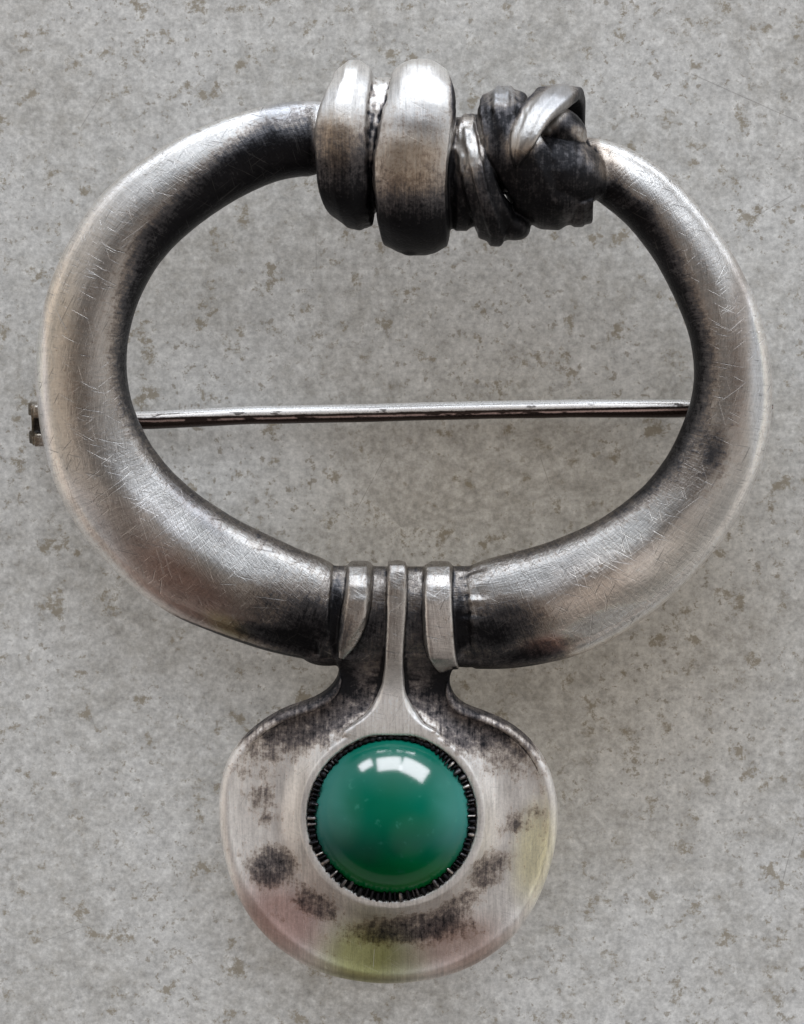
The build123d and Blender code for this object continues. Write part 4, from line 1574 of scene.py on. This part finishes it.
@dataclass(frozen=True)
class Bezel:
    """The thin notched strip round the stone."""

    inner: float = 4.98
    floor: float = 0.4
    top: float = 2.12
    teeth: int = 88
    tarnish: float = 1.2
    seed: int = 12

    def build(self, lie: Lie, material: bpy.types.Material) -> bpy.types.Object:
        """Builds the strip with its uneven teeth.

        Args:
            lie: How the brooch lies.
            material: Tarnished silver.

        Returns:
            The piece.
        """
        draws = np.random.default_rng(self.seed)
        bm = bmesh.new()
        bounds = np.concatenate([[0.0], np.cumsum(draws.uniform(0.55, 1.45, self.teeth))])
        bounds *= 2 * math.pi / bounds[-1]
        heights = draws.uniform(-0.20, 0.12, self.teeth)
        leans = draws.uniform(-0.12, 0.08, self.teeth)
        shine = draws.uniform(0.0, 1.0, self.teeth) ** 4
        sections, wear = [], []
        for index in range(self.teeth * 6):
            tooth, part = divmod(index, 6)
            angle = bounds[tooth] + (bounds[tooth + 1] - bounds[tooth]) * part / 6
            top = step(np.array([math.sin(angle - 0.15)]), 0.55, 0.95)[0]
            wide = 0.34 + 0.16 * step(np.array([-math.sin(angle + 0.45)]), 0.1, 0.9)[0]
            peak = (0.0, 0.75, 1.0, 1.0, 0.75, 0.0)[part] * (1 - 0.7 * top)
            high = self.top + heights[tooth] * peak - 0.34 * (1 - peak)
            inside = self.inner + leans[tooth] * peak - 0.20 * peak
            outside = self.inner + wide - 0.14 * (1 - peak) + 0.5 * leans[tooth] * peak
            outline = (
                (self.inner + 0.02, self.floor), (self.inner + 0.02, high - 0.35), (inside, high - 0.10),
                (inside + 0.08, high), (outside - 0.08, high - 0.04), (outside, high - 0.22),
                (outside + 0.05, self.floor),
            )
            rubbed = shine[tooth] * draws.uniform(0.5, 1.0) * peak
            wear += [self.tarnish - share * rubbed for share in (0.0, 0.0, 0.8, 1.3, 1.3, 0.5, 0.0)]
            sections.append([
                bm.verts.new((reach * math.cos(angle), reach * math.sin(angle), height))
                for reach, height in outline
            ])
        skinned(bm, sections, ring=True)
        bmesh.ops.translate(bm, verts=bm.verts, vec=(*STONE_MIDDLE, 0))
        piece = seated(bm, "notched_bezel", lie, material, Body.BROOCH)
        even = np.ones(len(wear))
        marked(piece.data, np.array(wear), 0.3 * even, even, 1.4 * np.ones((len(wear), 3)))
        return piece


@dataclass(frozen=True)
class Wire:
    """Polished wire with dark and brassy patches where its plating is thin, and with painted light: a whiter
    top strip as a painted highlight, painted shade over the lower half and a painted pink reflection in it.
    """

    lie: Lie
    clean: Colour = (0.97, 0.96, 0.94)
    cream: Colour = (0.84, 0.78, 0.72)
    reflected_pink: Colour = (0.60, 0.45, 0.42)
    # Dark of the thin plating, and of the painted shade on the lower half.
    dark: Colour = (0.050, 0.036, 0.032)

    def material(self) -> bpy.types.Material:
        """Builds the finish.

        Returns:
            The material.
        """
        material, bench = Bench.of_material("pin_wire")
        place = self.lie.own_place(bench)
        across, up, front = bench.split(place)
        run = bench.vector(across * 0.55, up * 1.6, front * 1.6)
        patch = bench.noise(run, 1.0, 3.0, 0.6)
        grain = bench.noise(place, 7.0, 3.0, 0.6)
        line = up - across * 0.0218 + 2.82 + (patch - 0.5) * 0.12 + (grain - 0.5) * 0.06
        # Painted highlight: the top strip stays whiter than the cream below it.
        cream = 1.0 - line.over(0.14, 0.22)
        # Painted shade: the lower half is dark.
        low = 1.0 - line.over(-0.12, -0.03)
        # Painted reflection: a pink band in the dark lower half.
        painted_pink_reflection = line.over(-0.38, -0.31) * (1.0 - line.over(-0.27, -0.20)) * patch.over(0.40, 0.50)
        patches = patch.over(0.58, 0.62) * cream * 0.8
        base = bench.layered(
            self.clean, (cream * 0.8, self.cream), (patches, self.dark), (low, self.dark), (painted_pink_reflection, self.reflected_pink)
        )
        bench.surface({
            "Base Color": base,
            "Metallic": 0.45 + low * 0.4,
            "Roughness": 0.24 + grain * 0.08,
            "Normal": bench.bump(grain * 0.4 + patch, 0.3, 0.00003),
        })
        return material


@dataclass(frozen=True)
class PinStem:
    """The stem, with the slight kinks of a wire that has been bent and straightened."""

    first: float = -16.0
    last: float = 17.0
    spacing: float = 0.6
    wave: float = 0.015
    bow: float = 0.17

    def build(self, node: bpy.types.Object, lie: Lie, material: bpy.types.Material) -> bpy.types.Object:
        """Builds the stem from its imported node.

        Args:
            node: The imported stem.
            lie: How the brooch lies.
            material: The wire's finish.

        Returns:
            The piece.
        """
        bm = packed_copy(node, lie)
        for cut in np.arange(self.first, self.last, self.spacing):
            cut_at(bm, list(bm.verts) + list(bm.edges) + list(bm.faces), cut)
        for vert in bm.verts:
            along = (vert.co.x - self.first) / (self.last - self.first)
            free = max(0.0, min(1.0, along * 5)) * max(0.0, min(1.0, (1 - along) * 5))
            kink = math.sin(vert.co.x * 0.42) + 0.5 * math.sin(vert.co.x * 1.13 + 1.0)
            vert.co.y += (self.wave * kink + self.bow) * free
            vert.co.z += 0.5 * self.wave * free * math.sin(vert.co.x * 0.31 + 2.0)
        piece = seated(bm, "pin_wire_stem", lie, material, Body.PIN)
        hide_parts("pin_stem")
        return piece


@dataclass(frozen=True)
class Rivet:
    """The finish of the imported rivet."""

    lie: Lie
    metal: Colour = (0.42, 0.36, 0.30)

    def dress(self, node: bpy.types.Object) -> None:
        """Gives the rivet a dull brownish metal.

        Args:
            node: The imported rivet.
        """
        material, bench = Bench.of_material("rivet_metal")
        grain = bench.noise(self.lie.own_place(bench), 6.0, 4.0, 0.65)
        base = bench.mix(grain.over(0.45, 0.7), self.metal, (0.07, 0.05, 0.04))
        bench.surface({
            "Base Color": base,
            "Metallic": 1.0,
            "Roughness": 0.34 + grain * 0.2,
            "Normal": bench.bump(grain, 0.5, 0.00004),
        })
        node.data.materials.clear()
        node.data.materials.append(material)
        LOG.info("hinge_rivet: packed node, dressed")


@dataclass(frozen=True)
class PaleStone:
    """The matt pale grey of the floor, with faint mottling, pits and scratches, and a glow of its own:
    painted light that lifts its shadows.
    """

    dark: Colour = (0.250, 0.241, 0.224)
    light: Colour = (0.335, 0.331, 0.322)
    fleck: Colour = (0.43, 0.426, 0.415)
    pit: Colour = (0.165, 0.142, 0.105)
    dot: Colour = (0.15, 0.13, 0.10)
    scratch: Colour = (0.12, 0.11, 0.10)
    glow_strength: float = 0.55

    def material(self) -> bpy.types.Material:
        """Builds the finish.

        Returns:
            The material.
        """
        material, bench = Bench.of_material("pale_floor")
        spot = bench.add("ShaderNodeTexCoord", {}, {}, "Object")
        cloud = bench.noise(spot, 80.0, 6.0, 0.66)
        fleck = bench.noise(spot, 950.0, 4.0, 0.7)
        pit = bench.noise(spot, 520.0, 5.0, 0.75).over(0.56, 0.65)
        dots = bench.noise(spot, 1500.0, 3.0, 0.7).over(0.58, 0.66) * cloud.over(0.38, 0.56)
        mottled, flecks = cloud.over(0.36, 0.64), fleck.over(0.32, 0.70) * 0.6
        base = bench.layered(self.dark, (mottled, self.light), (flecks, self.fleck))
        fine = bench.noise(spot, 2600.0, 4.0, 0.75)
        coarse = bench.noise(spot, 620.0, 6.0, 0.78)
        shade = 1.0 + (fine - 0.5) * 1.3 + (coarse - 0.5) * 0.9
        base = bench.shaded(base, shade)
        own = bench.add("ShaderNodeVectorMath", {"operation": "SCALE"}, {0: spot, 3: METRE})
        scratches = scratched(bench, own, FLOOR_SCRATCHES) * 0.55
        base = bench.layered(base, (pit * 0.8, self.pit), (dots * 0.7, self.dot), (scratches, self.scratch))
        sockets: dict[str | int, Plug] = {0: spot, 1: (0.008, -0.005, 0.0)}
        reach = bench.add("ShaderNodeVectorMath", {"operation": "DISTANCE"}, sockets, "Value")
        base = bench.tinted(1.0 - reach.over(0.008, 0.024), base, (0.72, 0.67, 0.60))
        bench.surface({
            "Base Color": base, "Roughness": 0.8, "Specular IOR Level": 0.2,
            # Painted light: the floor glows with its own colour to lift its shadows.
            "Emission Color": base, "Emission Strength": self.glow_strength,
        })
        material.cycles.emission_sampling = "NONE"
        return material


class Glow(NamedTuple):
    """A soft bright patch of the room round the brooch."""

    azimuth: float
    elevation: float
    inner: float
    outer: float
    colour: Colour

    def aim(self) -> Vector:
        """Direction from the brooch to the middle of the patch. 0 is +Y and 90 is +X."""
        turn, rise = math.radians(self.azimuth), math.radians(self.elevation)
        return Vector((math.sin(turn) * math.cos(rise), math.cos(turn) * math.cos(rise), math.sin(rise)))


class Pane(NamedTuple):
    """One pane of the window: its direction in degrees and its size in metres."""

    azimuth: float
    elevation: float
    width: float
    height: float


@dataclass(frozen=True)
class Studio:
    """Camera, lights and floor."""

    height_px: int = 1024
    camera_height: float = 220.0
    floor_px_mm: float = 0.0625
    middle: tuple[float, float] = (0.0945, 0.959)
    table_level: float = 5.0
    window_distance: float = 0.5
    metal_radiance: float = 2.4
    stone_radiance: float = 37.0
    metal_colour: Colour = (0.94, 0.97, 1.0)
    stone_colour: Colour = (1.0, 0.93, 1.0)
    floor_size: float = 0.6
    dark_room: Colour = (0.010, 0.010, 0.011)
    # Three panes of the window, and the strip of light under it.
    panes: tuple[Pane, ...] = (
        Pane(-32.0, 21.0, 0.13, 0.10), Pane(-4.0, 29.0, 0.24, 0.17), Pane(30.0, 29.0, 0.28, 0.20),
        Pane(4.0, 8.0, 0.34, 0.03),
    )
    # The window's glow, the walls beside the table, what is near the lower left, and the ceiling.
    glows: tuple[Glow, ...] = (
        Glow(8, 7, 12, 74, (1.56, 1.70, 1.92)),
        Glow(-88, 12, 12, 50, (0.82, 0.74, 0.66)),
        Glow(94, 10, 12, 46, (0.78, 0.74, 0.70)),
        Glow(-135, 34, 8, 36, (0.16, 0.115, 0.10)),
        Glow(142, 50, 6, 34, (0.62, 0.56, 0.52)),
        Glow(0, 82, 4, 44, (0.12, 0.10, 0.085)),
    )

    def build(self, stone: bpy.types.Object) -> None:
        """Sets up all that isn't the brooch.

        Args:
            stone: The stone, whose polish takes the window up more strongly than the metal does.
        """
        bpy.context.scene.view_settings.view_transform = "Standard"
        self._camera()
        self._floor()
        self._world()
        polish = bpy.data.collections.new("polished")
        polish.objects.link(stone)
        rest = bpy.data.collections.new("all_but_polished")
        rest.objects.link(stone)
        rest.collection_objects[0].light_linking.link_state = "EXCLUDE"
        for pane in self.panes:
            self._hang(pane, self.metal_radiance, self.metal_colour, rest)
            self._hang(pane, self.stone_radiance, self.stone_colour, polish)

    def _camera(self) -> None:
        """Hangs the camera straight above the brooch."""
        camera = bpy.data.cameras.new("camera")
        camera.sensor_fit = "VERTICAL"
        camera.sensor_height = 24.0
        reach_px = (self.camera_height - self.table_level) / self.floor_px_mm
        camera.lens = camera.sensor_height * reach_px / self.height_px
        camera.clip_start, camera.clip_end = 0.01, 10.0
        carrier = bpy.data.objects.new("camera", camera)
        carrier.location = (self.middle[0] / METRE, self.middle[1] / METRE, self.camera_height / METRE)
        bpy.context.scene.collection.objects.link(carrier)
        bpy.context.scene.camera = carrier

    def _floor(self) -> None:
        """Lays a pale stone floor."""
        bm = bmesh.new()
        bmesh.ops.create_grid(bm, x_segments=2, y_segments=2, size=self.floor_size)
        mesh = as_mesh(bm, "floor")
        mesh.materials.append(PaleStone().material())
        floor = bpy.data.objects.new("floor", mesh)
        bpy.context.scene.collection.objects.link(floor)

    def _world(self) -> None:
        """A room that is nearly dark where no patch of light is."""
        world = bpy.data.worlds.new("room")
        world.use_nodes = True
        bench = Bench(world.node_tree)
        direction = bench.add("ShaderNodeTexCoord", {}, {}, "Generated")
        colour: Plug = self.dark_room
        for glow in self.glows:
            sockets: dict[str | int, Plug] = {0: direction, 1: tuple(glow.aim())}
            near = bench.add("ShaderNodeVectorMath", {"operation": "DOT_PRODUCT"}, sockets, "Value")
            share = near.over(math.cos(math.radians(glow.outer)), math.cos(math.radians(glow.inner)))
            colour = bench.blended("ADD", share, colour, glow.colour)
        shader = bench.add("ShaderNodeBackground", {}, {"Color": colour, "Strength": 1.0})
        bench.add("ShaderNodeOutputWorld", {}, {"Surface": shader})
        bpy.context.scene.world = world

    def _hang(self, pane: Pane, radiance: float, colour: Colour, lit: bpy.types.Collection) -> None:
        """Hangs one pane of the window.

        Args:
            pane: Its place and size.
            radiance: How bright it is.
            colour: Its colour.
            lit: What it lights.
        """
        light = bpy.data.lights.new("pane", "AREA")
        light.shape = "RECTANGLE"
        light.size, light.size_y = pane.width, pane.height
        light.energy = radiance * math.pi * pane.width * pane.height
        light.color = colour
        aim = Glow(pane.azimuth, pane.elevation, 0, 0, (1, 1, 1)).aim()
        carrier = bpy.data.objects.new("pane", light)
        carrier.location = aim * self.window_distance
        carrier.rotation_mode = "QUATERNION"
        carrier.rotation_quaternion = aim.to_track_quat("Z", "Y")
        carrier.visible_camera = False
        carrier.light_linking.receiver_collection = lit
        bpy.context.scene.collection.objects.link(carrier)


def main() -> None:
    """Builds the brooch piece by piece."""
    logging.basicConfig(level=logging.INFO, format="%(name)s: %(message)s")
    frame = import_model()
    lie = Lie.of_joint(frame["joints"][0], Vector(HINGE))
    silver = Silver(lie).material()
    Casting(frame["nodes"]["brooch_body"], lie, Knot()).build(silver)
    Bezel().build(lie, silver)
    stone = Cabochon().build(lie, Stone(lie).material())
    PinStem().build(frame["nodes"]["pin_stem"], lie, Wire(lie).material())
    Rivet(lie).dress(frame["nodes"]["hinge_rivet"])
    Studio().build(stone)


if __name__ == "__main__":
    main()
